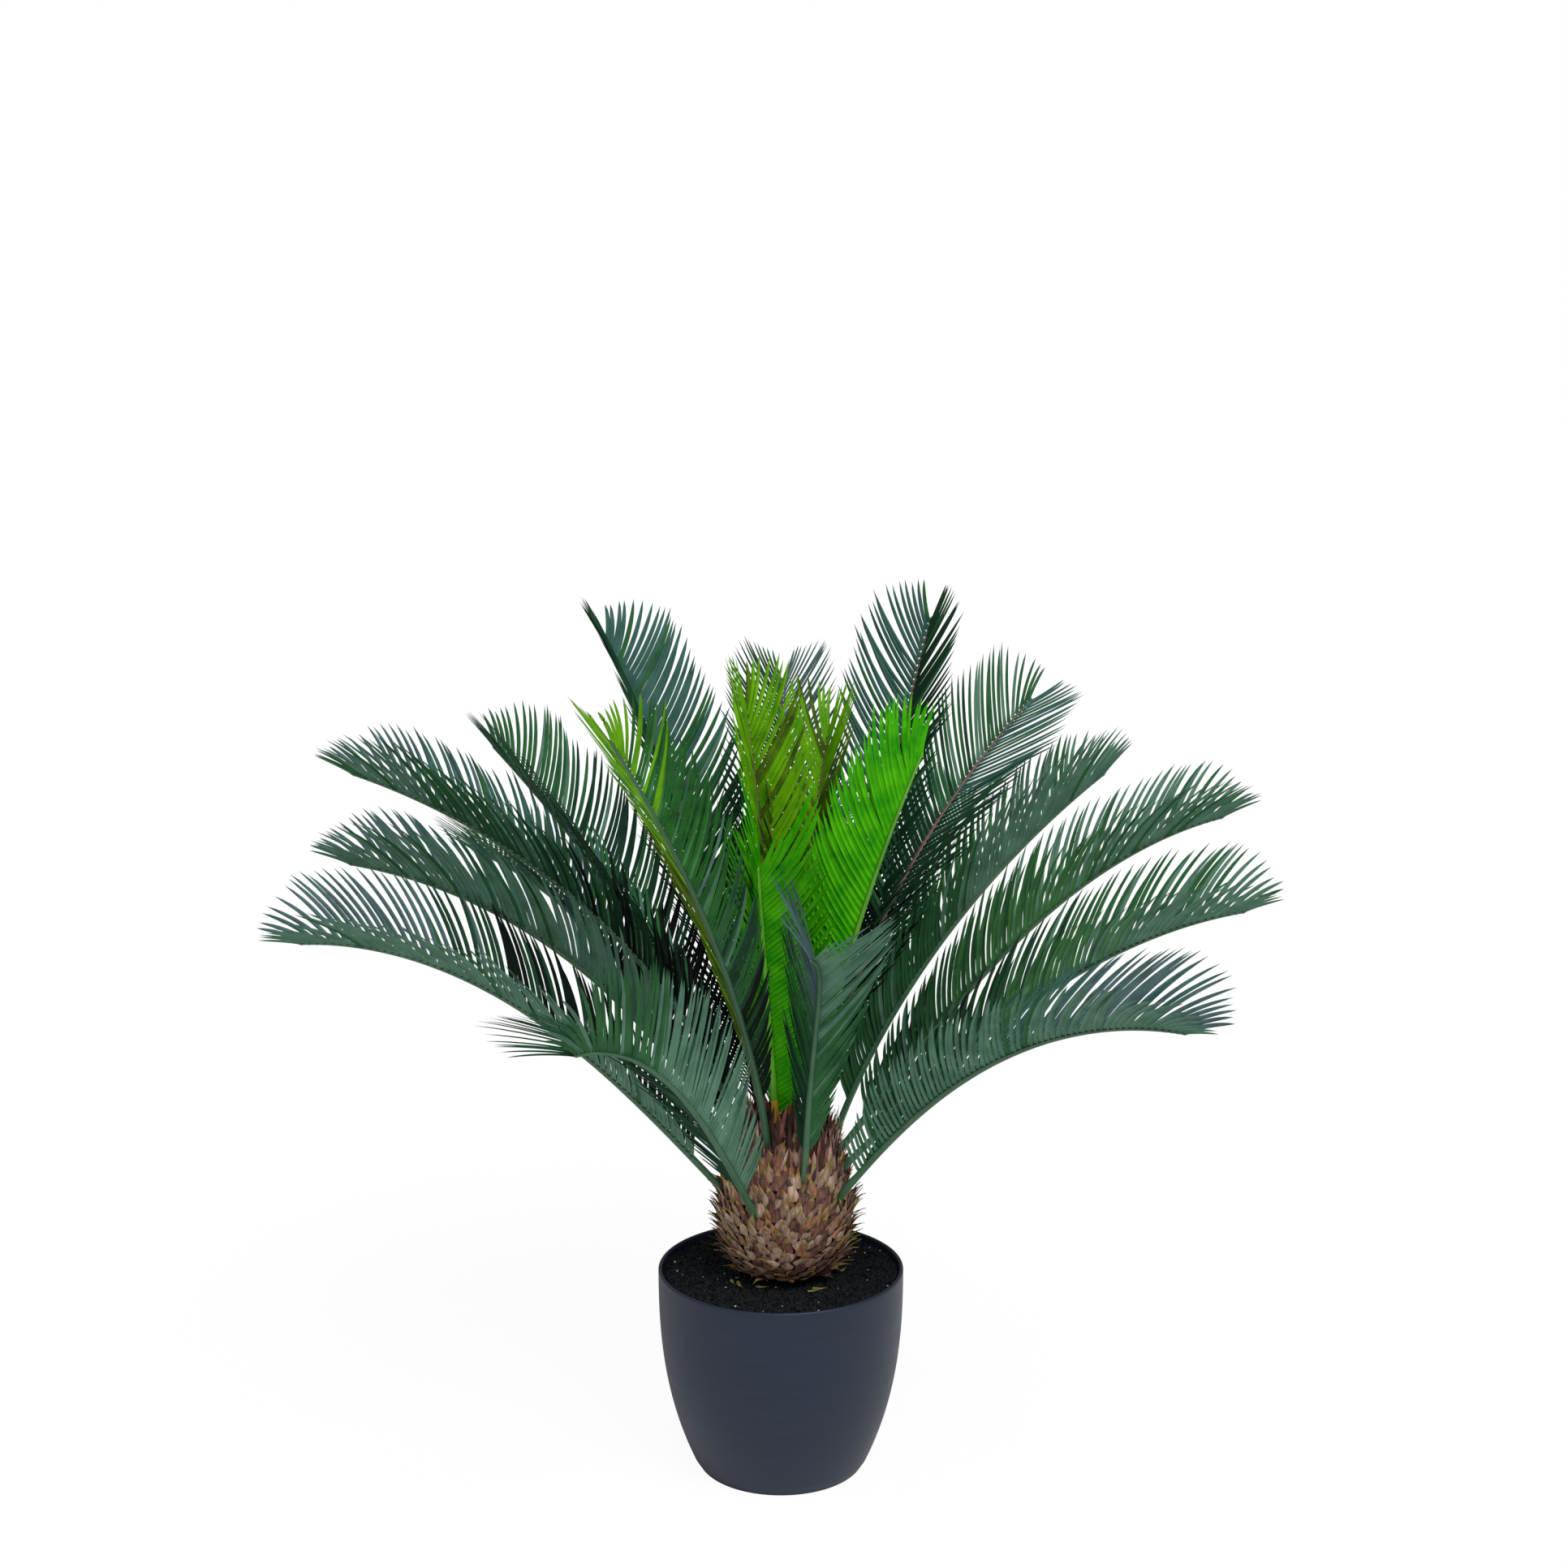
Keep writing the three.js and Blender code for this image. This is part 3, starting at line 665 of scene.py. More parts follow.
def painted_scales(kind, paints, stretch, rows, roughness, relief, gloss):
    """Deals the scales out by the paints' shares, and makes one stretch of each a piece."""
    deal = dealt_out(paints, SCALE_COUNT)
    for index, (label, (low, high, _)) in enumerate(paints.items()):
        mine = deal == index
        finish = plastic(f"{kind}_{label}", low, high, fibres_up, roughness, (1300.0, relief), gloss)
        blades = bent_blades(
            (scale_place - scale_out * SCALE_SINK)[mine], scale_along[mine], scale_out[mine],
            scale_across[mine], scale_size[mine], (scale_lift[0][mine], scale_lift[1][mine]),
            scale_width, SCALE_THICK, stretch, rows)
        new_piece(f"{kind}s_{label}", *joined_tubes(*blades), finish, "trunk", ["trunk"], sharp=55)


SCALE_PAINTS = {
    "mauve": ("6f5748", "9f8674", 0.39),
    "purple_brown": ("4a3028", "78564a", 0.31),
    "rust": ("6e4c34", "987256", 0.16),
    # The pale scales are painted highlights: a pale pinkish paint dealt to scales at random, in place of
    # light catching them.
    "pale": ("8a705f", "b9a08c", 0.14),
}
SPINE_PAINTS = {
    "straw": ("6e6226", "8f8038", 0.35),
    "ochre": ("74532a", "96713c", 0.22),
    "dark": ("2a1c18", "4c3830", 0.43),
}
painted_scales("scale", SCALE_PAINTS, (0, SPINE_FROM + SPINE_OVERLAP), 7, (0.62, 0.85), 0.0003, 0.15)
painted_scales("spine", SPINE_PAINTS, (SPINE_FROM, 1), 6, (0.5, 0.7), 0.0002, 0.4)

# %% Fallen scales
FALLEN_COUNT = 11
FALLEN_OUT = (0.040, 0.053)  # how far from the bulb's axis they lie
FALLEN_LENGTH = (0.009, 0.014)
FALLEN_RISE = 0.0008  # height over the trunk's foot
FALLEN_WAY = (1.4, 0.4)  # turn from outwards, middle and spread, in radians
FALLEN_BEND = 12.0
FALLEN_SHARE = 0.32  # width as a share of a scale's
FALLEN_THICK = SCALE_THICK * 0.6
fallen_turn = rng.uniform(0, 2 * np.pi, FALLEN_COUNT)
fallen_out = rng.uniform(*FALLEN_OUT, FALLEN_COUNT)
fallen_place = np.stack([
    TRUNK_X + fallen_out * np.cos(fallen_turn), fallen_out * np.sin(fallen_turn),
    np.full(FALLEN_COUNT, TRUNK_FOOT + FALLEN_RISE),
], axis=1)
fallen_way = fallen_turn + rng.normal(*FALLEN_WAY, FALLEN_COUNT)
fallen_along = level_way(fallen_way)
fallen_up = np.tile([0, 0, 1.0], (FALLEN_COUNT, 1))
fallen_straw = plastic("fallen_straw", "5f5724", "7d7234", fibres_up, (0.5, 0.7), (1300.0, 0.0002), gloss=0.3)


def fallen_width(s):
    """Half width of a fallen scale: a scale's own, dried to a third."""
    return scale_width(s) * FALLEN_SHARE


fallen_blades = bent_blades(
    fallen_place, fallen_along, fallen_up, np.cross(fallen_along, fallen_up),
    rng.uniform(*FALLEN_LENGTH, FALLEN_COUNT),
    (np.zeros(FALLEN_COUNT), np.full(FALLEN_COUNT, FALLEN_BEND)), fallen_width, FALLEN_THICK)
new_piece("fallen_scales", *joined_tubes(*fallen_blades), fallen_straw, "trunk", ["trunk"], sharp=55)

# %% [markdown]
# ## The collar
#
# Between the scales and the fronds sits a ruff of reddish-brown fibre, the sheath
# that a real palm wraps its new growth in. It is many thin, upright strips with
# torn points. They use the same bent blades as the scales, longer and thinner and
# nearly upright, in three browns.

# %% Collar
COLLAR_COUNT = 340
COLLAR_LOW = 0.088
COLLAR_HIGH = 0.131
COLLAR_LENGTH = (0.018, 0.042)
COLLAR_SINK = 0.003  # how deep a strip's root lies in the bulb
COLLAR_THICK = 0.0009
COLLAR_HALF_WIDTH = 0.0026
COLLAR_UPRIGHT = 0.65  # share of upright in a strip's direction
COLLAR_STRAY = 0.14  # spread of its lean to a side
ROOT_ANGLES = (3, 5)  # turn outwards at the root, middle and spread
TIP_ANGLES = (24, 14)


def strip_width(s):
    """Half width of a strip: nearly even, then a long torn point."""
    return COLLAR_HALF_WIDTH * np.clip((1 - s) / 0.55, 0.03, 1) ** 0.8


collar_height = rng.uniform(COLLAR_LOW, COLLAR_HIGH, COLLAR_COUNT)
collar_at = np.interp(collar_height, trunk_line[:, 1], trunk_length)
collar_turn = rng.uniform(0, 2 * np.pi, COLLAR_COUNT)
collar_place, collar_out, collar_up, collar_side = surface_frame(collar_at, collar_turn)
upright = np.array([0, 0, 1.0])
sideways = rng.normal(0, COLLAR_STRAY, COLLAR_COUNT)[:, None]
collar_along = collar_up * (1 - COLLAR_UPRIGHT) + upright * COLLAR_UPRIGHT + collar_side * sideways
collar_size = rng.uniform(*COLLAR_LENGTH, COLLAR_COUNT)
collar_rings = bent_blades(
    collar_place - collar_out * COLLAR_SINK, unit(collar_along), level_way(collar_turn),
    collar_side, collar_size,
    (rng.normal(*ROOT_ANGLES, COLLAR_COUNT), rng.normal(*TIP_ANGLES, COLLAR_COUNT)),
    strip_width, COLLAR_THICK, rows=7)
print("collar:", COLLAR_COUNT, "strips")

# %% Paint the collar
COLLAR_PAINTS = {
    "dark": ("1f0f0c", "47271f", 0.44),
    "russet": ("4f281f", "8a584a", 0.39),
    # The pale strips are painted highlights, dealt at random among the fibres.
    "pale": ("8d6a5d", "c4a596", 0.17),
}
collar_deal = dealt_out(COLLAR_PAINTS, COLLAR_COUNT)
for index, (label, (low, high, _)) in enumerate(COLLAR_PAINTS.items()):
    finish = plastic(f"fibre_{label}", low, high, fibres_up, (0.55, 0.85), (1500.0, 0.0004), gloss=0.35)
    chosen = collar_deal == index
    new_piece(f"collar_{label}", *joined_tubes(*(part[chosen] for part in collar_rings)), finish,
              "trunk", ["trunk"], sharp=55)

# %% [markdown]
# ## The fronds' rule
#
# A frond is a rib that leaves the trunk steeply and arches over, with leaflets down
# both sides, raised in a V. Its slope runs from rise to tip as a power of the way
# along, and its heading may turn a little. Adding up the direction along the way
# gives the rib's line. The old fronds are dark and long, and where they lie in shade
# inside the crown their leaflets are painted near black: painted shade. The four young
# ones in the middle are bright green and stand nearly straight. The table holds the
# same values as the solids do, and the leaflets follow the same rule with more of them.
#
# For the leaflets, leaf is the longest one's length in millimetres, low the share of
# it that the first has, fade what the last loses, and bare the share of the rib that
# has none. They leave the rib at the splay angles, first and last, and stand raised
# over its sides. Tilt turns each about its own line, like the slats of a blind.

# %% Frond values
MATURE = dict(
    bend=1.4, sweep=0, roll=(0, 0), leaflets=65, leaf=92, low=0.4, fade=0.45, bare=0.10, splay=(49, 40),
    raised=40, tilt=0, half_width=0.0018)
YOUNG = dict(MATURE, leaflets=46, low=0.3, bare=0.13, splay=(34, 22), raised=50, half_width=0.0022)


def frond(name, heading, foot, length, rise, tip, kind=MATURE, tints=("deep", "deep"), **own):
    """One frond's values; tints are the colours of its left and right rows of leaflets, from foot to tip,
    some of them painted shade.
    """
    values = dict(kind, name=name, heading=heading, rise=rise, tip=tip, tints=tints, **own)
    values.update(foot=foot / 1000, length=length / 1000, leaf=values["leaf"] / 1000)
    return values


# Each row's tints run in stages from the rib's foot to its tip. The black and night stages, at the feet of
# many fronds, on the fronds at the back and on whole rows of a few, are painted shade inside the crown.
# Umber, and the olive at the feet of the young fronds at the left and back, are painted shade among the young
# leaflets; that olive is also their own colour. Blue and slate are a bluish upper side with a painted sky
# reflection.
FRONDS = [
    frond("frond_left_low", 190, 78, 431, 49, 0, bend=2.2, roll=(-12, -12), tilt=20,
          tints=("grey", "black black black night slate slate")),
    frond("frond_left_middle", 178, 108, 424, 62, 9, bend=1.2, roll=(24, 2), tilt=20,
          tints=("grey grey grey", "black blue slate")),
    frond("frond_left_high", 168, 122, 476, 78, 16, bend=0.7, roll=(18, 0), tilt=20,
          tints=("black night deep grey", "black deep blue slate")),
    frond("frond_left_steep", 150, 128, 411, 64, 38, bend=0.7, sweep=-2,
          tints=("black night", "black night deep")),
    frond("frond_left_top", 125, 130, 473, 67, 43, bend=1.3, roll=(10, 10), leaf=98, tilt=-14,
          half_width=0.0023, tints=("night", "night deep blue")),
    frond("frond_front_left_high", -115, 127, 478, 79, 40, bend=0.6, sweep=4, roll=(-2, 12),
          splay=(32, 26), low=0.2, half_width=0.0015, leaflets=78,
          tints=("black black night deep fresh fresh mid fresh bright", "olive olive olive bright bright")),
    frond("frond_front_left_low", -119, 71, 344, 53, 6, bend=2.2, roll=(24, 30), leaf=95, fade=0.1,
          half_width=0.0018, leaflets=68, tints=("grey grey deep", "night")),
    frond("frond_front", -71, 103, 264, 80, 18, bend=2.2, sweep=-34, roll=(-34, -20),
          splay=(34, 48), low=0.18, fade=0.1, half_width=0.0015,
          tints=("deep grey", "night deep slate slate")),
    frond("frond_back_top", 92, 128, 432, 72, 34, sweep=-4, tints=("night", "night slate")),
    frond("frond_right_top", 58, 127, 460, 62, 70, bend=1.2, sweep=-14, roll=(15, 15), tilt=-14,
          tints=("deep blue", "night")),
    frond("frond_right_steep", 40, 124, 446, 84, 32, bend=0.7, sweep=4, roll=(12, 38), raised=34,
          tints=("black night deep", "black night blue")),
    frond("frond_right_high", 24, 113, 409, 70, 32, bend=0.8, roll=(-32, -12), tilt=20,
          tints=("black deep mid grey grey", "deep deep grey grey")),
    frond("frond_right_middle", 4, 108, 444, 53, 13, bend=2.4, sweep=2, roll=(-26, 6), tilt=20,
          tints=("black deep grey grey", "deep mid grey")),
    frond("frond_right_low", -14, 98, 417, 47, 13, bend=2.2, roll=(-10, 12), tilt=20,
          tints=("black night deep grey", "deep mid grey")),
    frond("frond_front_right_low", -36, 78, 390, 51, 0, bend=1.7, roll=(-14, 10), tilt=20,
          tints=("night blue slate", "grey")),
    frond("frond_back_left_low", 140, 97, 415, 52, 8, tints=("black deep", "black grey")),
    frond("frond_back_left", 110, 99, 435, 54, 10, tints=("black mid", "black deep")),
    frond("frond_back", 85, 95, 435, 52, 8, tints=("black deep", "black blue")),
    frond("frond_back_right", 62, 99, 435, 54, 10, tints=("black grey", "black deep")),
    frond("young_frond_left", 111, 135, 360, 85, 67, YOUNG, bend=1.2, roll=(2, 8), splay=(40, 30),
          tints=("olive lime bright", "olive lime bright bright")),
    frond("young_frond_back", 72, 135, 345, 82, 56, YOUNG, splay=(42, 30), half_width=0.0021,
          tints=("olive umber olive bright", "umber umber olive olive bright")),
    frond("young_frond_right", -10, 134, 338, 84, 68, YOUNG, bend=0.6, splay=(46, 28), raised=60, leaf=98,
          tints=("lime", "lime")),
    frond("young_frond_front", -140, 136, 226, 85, 85, YOUNG, bare=0.06, low=0.5, splay=(50, 46), raised=14,
          half_width=0.0021, tints=("lime", "lime")),
]
print("fronds:", len(FRONDS))

# %% The rib's line
SOCKET_DEPTH = 0.006
RIB_STEPS = 400


def between(ends, u):
    """A value that runs evenly from ends[0] to ends[1]."""
    return ends[0] + (ends[1] - ends[0]) * u


def rib_frame(one, u):
    """Place, forward, right and up of a frond's rib at u, from 0 at the foot to 1 at the tip.

    The slope is rise + (tip - rise) * u ** bend, the heading is heading + sweep * u ** 2,
    and the place is the foot plus the sum of the directions up to u. The rib is turned
    about its own line by roll, which runs evenly from its first value to its second.
    """
    fine = (np.arange(RIB_STEPS) + 0.5) / RIB_STEPS

    def direction(at):
        slope = np.radians(one["rise"] + (one["tip"] - one["rise"]) * at ** one["bend"])
        turn = np.radians(one["heading"] + one["sweep"] * at ** 2)
        return np.stack([np.cos(slope) * np.cos(turn), np.cos(slope) * np.sin(turn), np.sin(slope)], axis=-1)

    sums = np.concatenate([np.zeros((1, 3)), np.cumsum(direction(fine), axis=0)]) * one["length"] / RIB_STEPS
    start = math.radians(one["heading"])
    radius = float(trunk_radius(one["foot"]))
    foot = np.array([TRUNK_X + radius * math.cos(start), radius * math.sin(start), TRUNK_FOOT + one["foot"]])
    foot = foot - direction(np.zeros(1))[0] * SOCKET_DEPTH
    grid = np.linspace(0, 1, RIB_STEPS + 1)
    place = foot + np.stack([np.interp(u, grid, sums[:, k]) for k in range(3)], axis=-1)
    forward = direction(u)
    turn = np.radians(one["heading"] + one["sweep"] * u ** 2)
    level = np.stack([np.sin(turn), -np.cos(turn), np.zeros_like(turn)], axis=-1)
    roll = np.radians(between(one["roll"], u))[..., None]
    right = level * np.cos(roll) + np.cross(forward, level) * np.sin(roll)
    return place, forward, right, np.cross(right, forward)


print("tip of the first frond:", rib_frame(FRONDS[0], np.ones(1))[0][0].round(3))

# %% [markdown]
# ## Ribs
#
# The rib is a smooth green stalk, about six millimetres thick at the foot and two
# at the tip, low above and deep below. Along its upper side runs a pinkish-brown
# strip. One painted by a pattern would blur on an exported model, so the strip is a
# thin shape of its own, let into the top of the rib.

# %% Rib sections
RIB_HALF_WIDTH = (0.0032, 0.0011)
RIB_TOP = (0.0013, 0.0007)
RIB_KEEL = (0.0048, 0.0015)
RIB_STATIONS = 56
RIB_CORNERS = 12
RIB_POINT = 0.003  # length of the point beyond the last ring


def rib_rings(one, u):
    """Rings round the rib: half an ellipse above its middle and a deeper half below."""
    place, _, right, up = rib_frame(one, u)
    angle = np.arange(RIB_CORNERS) / RIB_CORNERS * 2 * np.pi
    across = between(RIB_HALF_WIDTH, u)[:, None] * np.cos(angle)
    top = between(RIB_TOP, u)[:, None] * np.sin(angle)
    keel = between(RIB_KEEL, u)[:, None] * np.sin(angle)
    height = np.where(np.sin(angle) > 0, top, keel)
    return place[:, None] + across[..., None] * right[:, None] + height[..., None] * up[:, None]


def ribs_of(some, start, end):
    """The ribs of some fronds between two shares of their length, joined."""
    u = np.linspace(start, end, RIB_STATIONS)
    rings = np.stack([rib_rings(one, u) for one in some])
    ends = np.stack([rib_frame(one, np.array([start, end]))[0] for one in some])
    forward = np.stack([rib_frame(one, np.array([end]))[1][0] for one in some])
    point = RIB_POINT if end == 1 else 0.0
    return joined_tubes(rings, ends[:, 0], ends[:, 1] + forward * point)


print("rib depth, foot and tip:", [round(top + keel, 4) for top, keel in zip(RIB_TOP, RIB_KEEL)], "m")

# %% Rib strips
STRIP_SHARE = 0.85  # width of a strip as a share of the rib's
STRIP_SPAN = (0.22, 0.97)  # where the strips begin and end along the ribs
YOUNG_STRIP_SPAN = (0.3, 0.97)


def rib_strips(some, start, end):
    """Thin strips on the tops of the ribs, most of their width and a little proud."""
    u = np.linspace(start, end, RIB_STATIONS)
    rings, ends = [], []
    for one in some:
        place, _, right, up = rib_frame(one, u)
        half = between(RIB_HALF_WIDTH, u)[:, None] * right * STRIP_SHARE
        top = between(RIB_TOP, u)[:, None] * up
        ring = [half + top * 0.55, half * 0.6 + top * 1.25, -half * 0.6 + top * 1.25, -half + top * 0.55]
        rings.append(np.stack([place + corner for corner in ring], axis=1))
        ends.append(place[[0, -1]] + top[[0, -1]])
    ends = np.stack(ends)
    return joined_tubes(np.stack(rings), ends[:, 0], ends[:, 1])


print("strip width, foot and tip:", [round(2 * half * STRIP_SHARE, 4) for half in RIB_HALF_WIDTH], "m")

# %% Ribs
old_fronds = [one for one in FRONDS if one["name"].startswith("frond")]
young_fronds = [one for one in FRONDS if one["name"].startswith("young")]
old_names = [one["name"] for one in old_fronds]
young_names = [one["name"] for one in young_fronds]
YOUNG_FOOT_END = 0.11  # share of a young rib that is still yellow

patchy = (SOFT_PATCHES, {"Scale": 45.0})
rib_green = plastic("rib_green", "1f4a2c", "30593a", patchy, (0.42, 0.55), (1500.0, 0.00008))
rib_brown = plastic("rib_brown", "4a2c28", "6e4a44", patchy, (0.5, 0.65), (1500.0, 0.0001))
rib_lime = plastic("rib_lime", "3f8a0c", "5ca41c", patchy, (0.42, 0.55), (1500.0, 0.00008))
rib_amber = plastic("rib_amber", "b08a1e", "d4a52c", patchy, (0.45, 0.6), (1500.0, 0.00008))
new_piece("ribs_old", *ribs_of(old_fronds, 0, 1), rib_green, "frond", old_names, sharp=60)
new_piece("rib_strips_old", *rib_strips(old_fronds, *STRIP_SPAN), rib_brown, "frond", old_names, sharp=60)
new_piece("ribs_young", *ribs_of(young_fronds, YOUNG_FOOT_END, 1), rib_lime, "young_frond",
          young_names, sharp=60)
new_piece("rib_feet_young", *ribs_of(young_fronds, 0, YOUNG_FOOT_END), rib_amber, "young_frond",
          young_names, sharp=60)
new_piece("rib_strips_young", *rib_strips(young_fronds, *YOUNG_STRIP_SPAN), rib_brown, "young_frond",
          young_names, sharp=60)

# %% [markdown]
# ## Leaflets
#
# An old frond carries 65 to 78 narrow leaflets a side and a young one 46. A leaflet
# is a long blade, folded a little along its middle, that leaves the rib at a wide
# angle, bends towards the frond's tip and ends in a point. None is quite in line: the
# moulding comes out of its box with leaflets bunched here and parted there, and that
# is what lets the light through in slits. So each gets a small turn of its own and a
# shared one with its neighbours. All leaflets of a colour become one mesh.

# %% A leaflet's length and width
def leaf_share(one, t):
    """Length of a leaflet at t as a share of the longest: a quick swell and a late fade."""
    swell = between((one["low"], 1), np.sin(np.pi / 2 * np.minimum(t / 0.5, 1)))
    return swell * (1 - one["fade"] * np.maximum((t - 0.75) / 0.25, 0) ** 2)


def blade_width(s):
    """Half width along a leaflet as a share: a broad root, then even, then a sharp point."""
    return (1 + 0.4 * np.clip(1 - s / 0.12, 0, 1)) * np.clip(1 - s ** 4, 0, 1) ** 0.75


print("leaflet lengths along a frond:", leaf_share(MATURE, np.linspace(0, 1, 5)).round(2))

# %% One row of leaflets
LEAF_ROWS = 9
LEAF_BEND = 20  # degrees that a leaflet turns towards the tip
LEAF_DROOP = 12  # degrees that it sinks over its length
LEAF_THICK = 0.0004
FOLD = 0.42  # depth of the middle fold for each half width
FAN_FROM = 0.9  # where the last leaflets close in on the rib
FAN = 22  # degrees that they close in by
FAN_SHORT = 0.28  # share of their length that they lose
NEIGHBOURS = 5  # leaflets that share a turn
BUNCH_SPLAY = 1.8  # the shared turns, in degrees
BUNCH_RAISE = 2.2
OWN_SPLAY = 1.0  # a leaflet's own turns
OWN_RAISE = 1.2
OWN_LENGTH = 0.025
ROOT_SHARE = 0.7  # where the roots sit on the rib's half width


def bunching(count, size):
    """Random turns shared by neighbours: noise averaged over a few leaflets, at size degrees."""
    rough = rng.normal(0, 1, count + NEIGHBOURS - 1)
    smooth = np.convolve(rough, np.ones(NEIGHBOURS) / NEIGHBOURS, mode="valid")
    return size * smooth * math.sqrt(NEIGHBOURS)


def leaflet_rings(one, side):
    """Rings and end points of one row of leaflets: side is 1 for the right and -1 for the left."""
    count = one["leaflets"]
    t = (np.arange(count) + 0.5) / count
    u = one["bare"] + (1 - one["bare"]) * t
    place, forward, right, up = rib_frame(one, u)
    fan = np.clip((t - FAN_FROM) / (1 - FAN_FROM), 0, 1)
    splay = between(one["splay"], t ** 2) - FAN * fan
    splay = splay + bunching(count, BUNCH_SPLAY) + rng.normal(0, OWN_SPLAY, count)
    raised = one["raised"] + bunching(count, BUNCH_RAISE) + rng.normal(0, OWN_RAISE, count)
    length = one["leaf"] * leaf_share(one, t) * (1 - FAN_SHORT * fan) * rng.normal(1, OWN_LENGTH, count)
    s = np.linspace(0, 1, LEAF_ROWS)
    angle = np.radians(splay[:, None] + LEAF_BEND * (0.5 - s))[..., None]
    lifted = np.radians(raised[:, None] + LEAF_DROOP * (0.5 - s))[..., None]
    across = side * np.cos(lifted) * right[:, None] + np.sin(lifted) * up[:, None]
    heading = np.cos(angle) * forward[:, None] + np.sin(angle) * across
    root = place + side * right * between(RIB_HALF_WIDTH, u)[:, None] * ROOT_SHARE
    middle = root[:, None] + walked(heading, length)
    level = unit(forward[:, None] - heading * np.einsum("ijk,ik->ij", heading, forward)[..., None])
    tilt = math.radians(one["tilt"])
    flat = level * math.cos(tilt) + np.cross(level, heading) * side * math.sin(tilt)
    face = np.cross(flat, heading) * side
    half = one["half_width"] * blade_width(s)[None, :, None]
    crease = -half * FOLD * face
    thick = LEAF_THICK * (1 - 0.6 * s)[None, :, None] * face
    ring = [half * flat, crease + thick / 2, -half * flat, crease - thick / 2]
    rings = np.stack([middle + corner for corner in ring], axis=2)[:, :-1]
    return rings, middle[:, 0], middle[:, -1]


print("leaflets in all:", 2 * sum(one["leaflets"] for one in FRONDS))

# %% Leaf paints
LEAF_PAINTS = {
    "deep": ("1f4a2a", "2d5c36"),
    # night and black are painted shade: near-black greens dealt to the leaflets that lie in shade inside the
    # crown, near the trunk and at the back.
    "night": ("12301f", "1b3f2a"),
    "black": ("050c09", "0a1812"),
    # blue and slate are the leaflets' darker, bluish upper side with a painted sky reflection on it.
    "blue": ("2b4c44", "3a5f57"),
    "slate": ("3a4f50", "4b6364"),
    "grey": ("3e614e", "537763"),
    "mid": ("2f6234", "407643"),
    "fresh": ("17491a", "256224"),
    "bright": ("457f05", "67a508"),
    "lime": ("208a02", "4cb006"),
    "olive": ("2c4408", "567412"),
    # umber is painted shade: a darker olive dealt to the lower and middle leaflets of the young frond at the
    # back.
    "umber": ("1c2a06", "35480c"),
}
NEXT_TINT = {  # what a stray leaflet of each tint takes
    "deep": "grey", "night": "deep", "black": "night", "blue": "deep", "slate": "blue", "grey": "deep",
    "mid": "deep", "fresh": "mid", "bright": "olive", "olive": "bright", "umber": "olive", "lime": "lime",
}
leaf_finish = {
    label: plastic(f"leaf_{label}", *ends, (SOFT_PATCHES, {"Scale": 55.0}), (0.5, 0.66), (1200.0, 0.0001),
                   gloss=0.08)
    for label, ends in LEAF_PAINTS.items()
}
print("leaf finishes:", len(leaf_finish))

# %% Deal out the colours
STRAY = 0.10  # share of leaflets that take the next tint
STAGE_BLUR = 0.07  # how far a tint runs into its neighbour's stage
dealt = {}
for one in FRONDS:
    kind = "young_leaflets" if one["name"] in young_names else "leaflets"
    for side, tint in zip((-1, 1), one["tints"]):
        rings, first, last = leaflet_rings(one, side)
        count = len(rings)
        stages = tint.split()
        share = (np.arange(count) + 0.5) / count + rng.normal(0, STAGE_BLUR, count)
        stage = np.clip((share * len(stages)).astype(int), 0, len(stages) - 1)
        stray = rng.uniform(0, 1, count) < STRAY
        for number, label in enumerate(stages):
            for name, chosen in ((label, ~stray), (NEXT_TINT[label], stray)):
                mine = chosen & (stage == number)
                if mine.any():
                    dealt.setdefault((kind, name), []).append((rings[mine], first[mine], last[mine]))

for (kind, label), rows in sorted(dealt.items()):
    slot, names = ("frond", old_names) if kind == "leaflets" else ("young_frond", young_names)
    joined = joined_tubes(*(np.concatenate(parts) for parts in zip(*rows)))
    new_piece(f"{kind}_{label}", *joined, leaf_finish[label], slot, names, sharp=35)

# %% [markdown]
# ## Floor and light
#
# The plant stands on a plain white floor under a soft white sky, with one large lamp
# high at the front right and a weaker one at the front left. A big lamp gives soft
# edges to the shadows among the leaflets, and the bright surroundings keep the
# charcoal pot from going black.

# %% Floor
FLOOR_SIDE = 60.0
FLOOR_LINES = 9
FLOOR_GLOW = 0.95  # share of the floor that is seen as plain white


def floor_sheet(side, lines):
    """A flat square grid at height 0."""
    line = np.linspace(-side / 2, side / 2, lines)
    x, y = np.meshgrid(line, line)
    points = np.stack([x, y, np.zeros_like(x)], axis=2).reshape(-1, 3)
    corner = (np.arange(lines - 1)[:, None] * lines + np.arange(lines - 1)).ravel()
    return points, np.stack([corner, corner + 1, corner + lines + 1, corner + lines], axis=1)


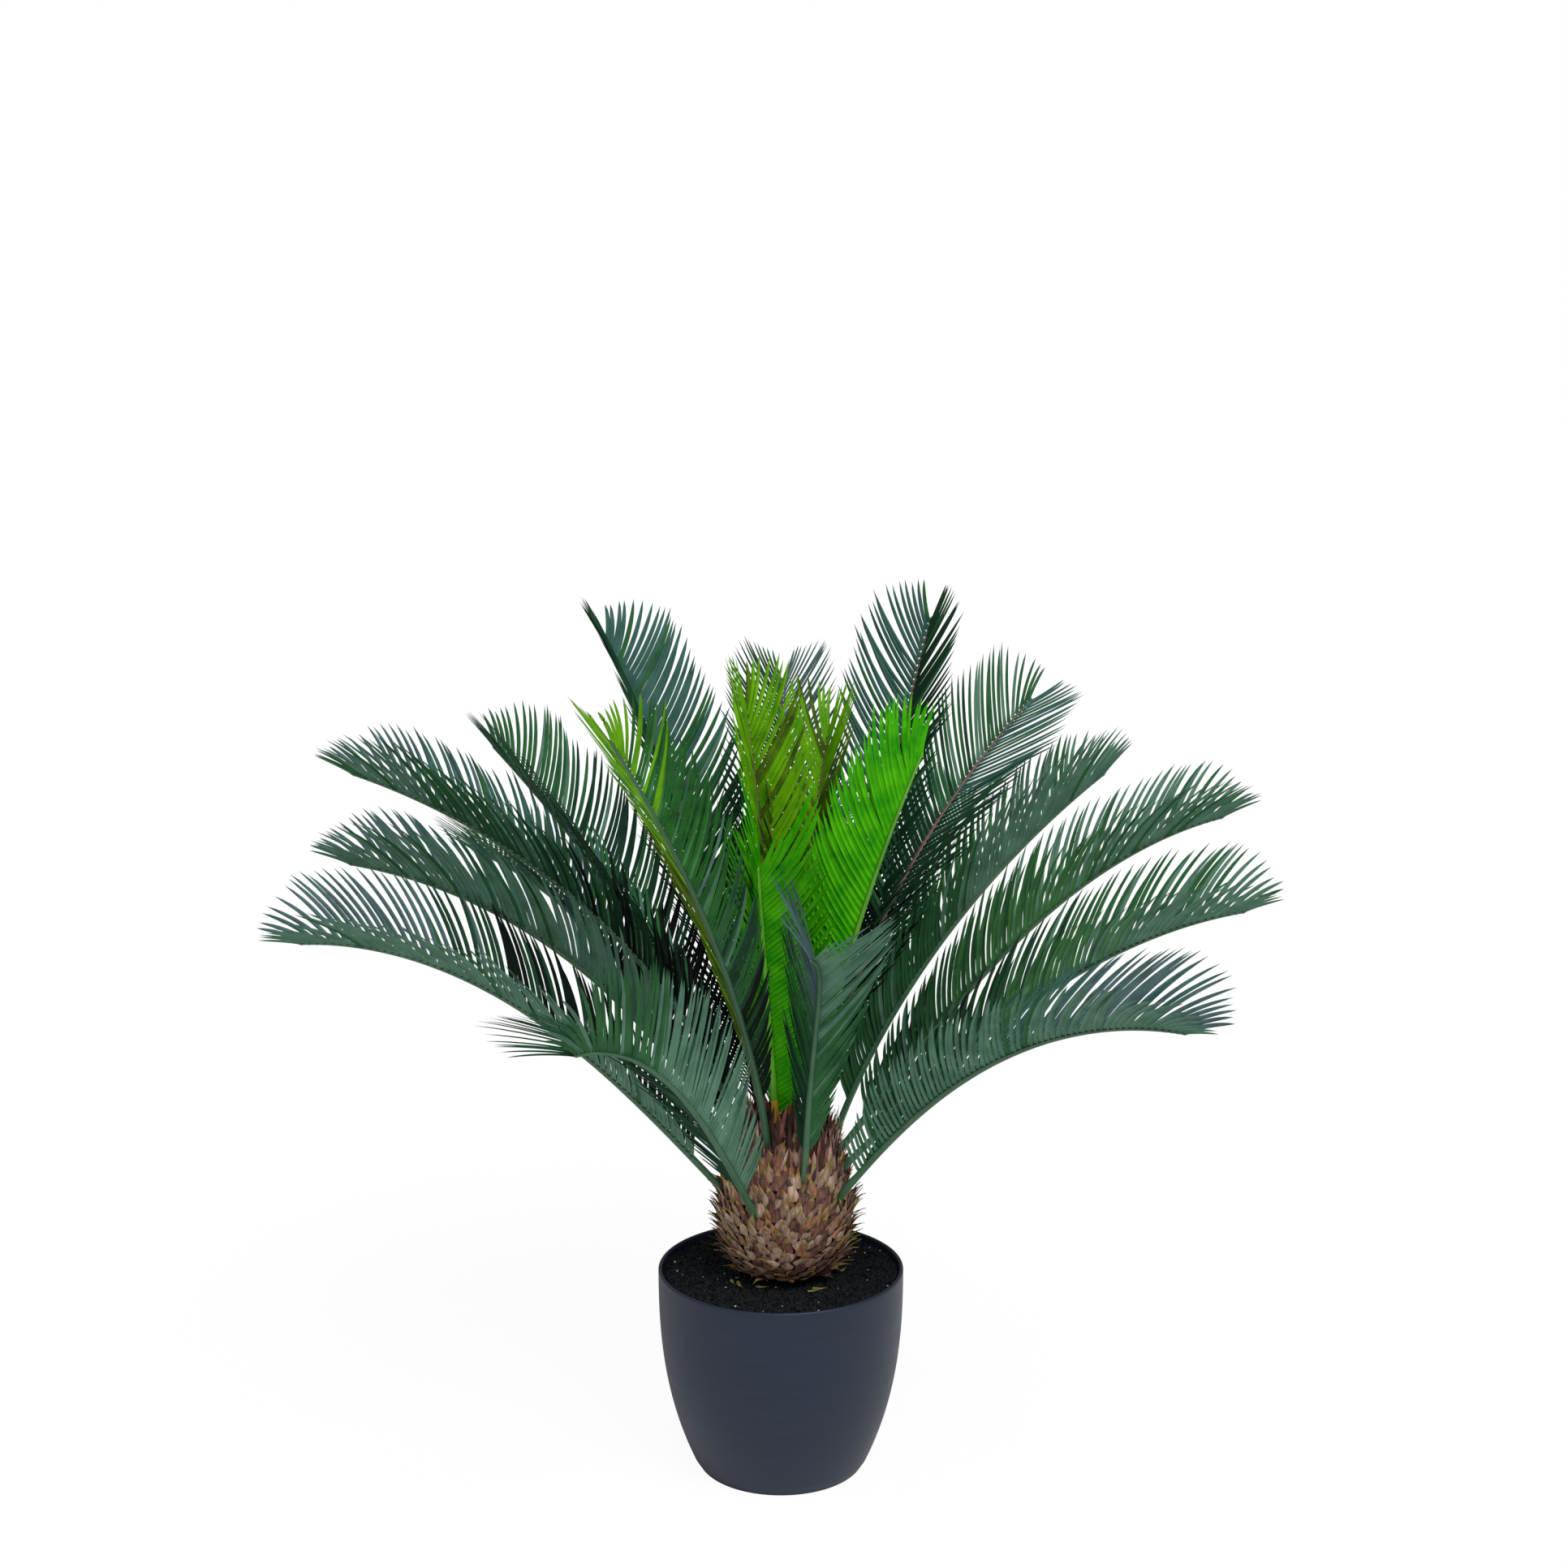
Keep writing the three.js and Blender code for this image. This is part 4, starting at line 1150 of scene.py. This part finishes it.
def show_to_camera(tree, lit, shown, share, output):
    """Mixes a share of the shown shader into the lit one, for the camera's own rays alone."""
    path = new_node(tree, "LightPath")
    portion = new_node(tree, "Math")
    portion.operation = "MULTIPLY"
    portion.inputs[1].default_value = share
    mix = new_node(tree, "MixShader")
    link(tree, path, "Is Camera Ray", portion, 0)
    link(tree, portion, "Value", mix, "Fac")
    link(tree, lit, 0, mix, 1)
    link(tree, shown, 0, mix, 2)
    link(tree, mix, "Shader", tree.nodes[output], "Surface")


floor_points, floor_faces = floor_sheet(FLOOR_SIDE, FLOOR_LINES)
floor_mesh = bpy.data.meshes.new("floor")
floor_mesh.from_pydata(floor_points.tolist(), [], floor_faces.tolist())
floor = added("floor", floor_mesh)
floor_white = bpy.data.materials.new("floor_white")
floor_white.use_nodes = True
floor_tree = floor_white.node_tree
floor_lit = set_inputs(floor_tree.nodes["Principled BSDF"], Base_Color=(0.96, 0.96, 0.96, 1), Roughness=0.9)
floor_seen = new_node(floor_tree, "Emission")
show_to_camera(floor_tree, floor_lit, floor_seen, FLOOR_GLOW, "Material Output")
floor_mesh.materials.append(floor_white)
print("floor:", FLOOR_SIDE, "m square")

# %% Light
SKY_LIGHT = 0.38
WHITE = (1.0, 1.0, 1.0, 1)
scene.view_settings.view_transform = "Standard"
world = bpy.data.worlds.new("studio")
world.use_nodes = True
sky = world.node_tree
sky_lit = set_inputs(sky.nodes["Background"], Color=WHITE, Strength=SKY_LIGHT)
sky_seen = new_node(sky, "Background", Color=WHITE, Strength=1.0)
show_to_camera(sky, sky_lit, sky_seen, 1.0, "World Output")
scene.world = world


def distant_lamp(name, heading, height, spread, power):
    """A far lamp at a compass angle, 0 at +X, and a height in degrees above level.

    spread is how wide it looks in degrees, and power its watts on a square metre.
    """
    data = bpy.data.lights.new(name, "SUN")
    data.angle = math.radians(spread)
    data.energy = power
    added(name, data).rotation_euler = (0, math.radians(90 - height), math.radians(heading))


distant_lamp("key", heading=-58, height=55, spread=32, power=2.9)
distant_lamp("fill", heading=-130, height=30, spread=50, power=0.4)
print("lights: soft sky and two far lamps")
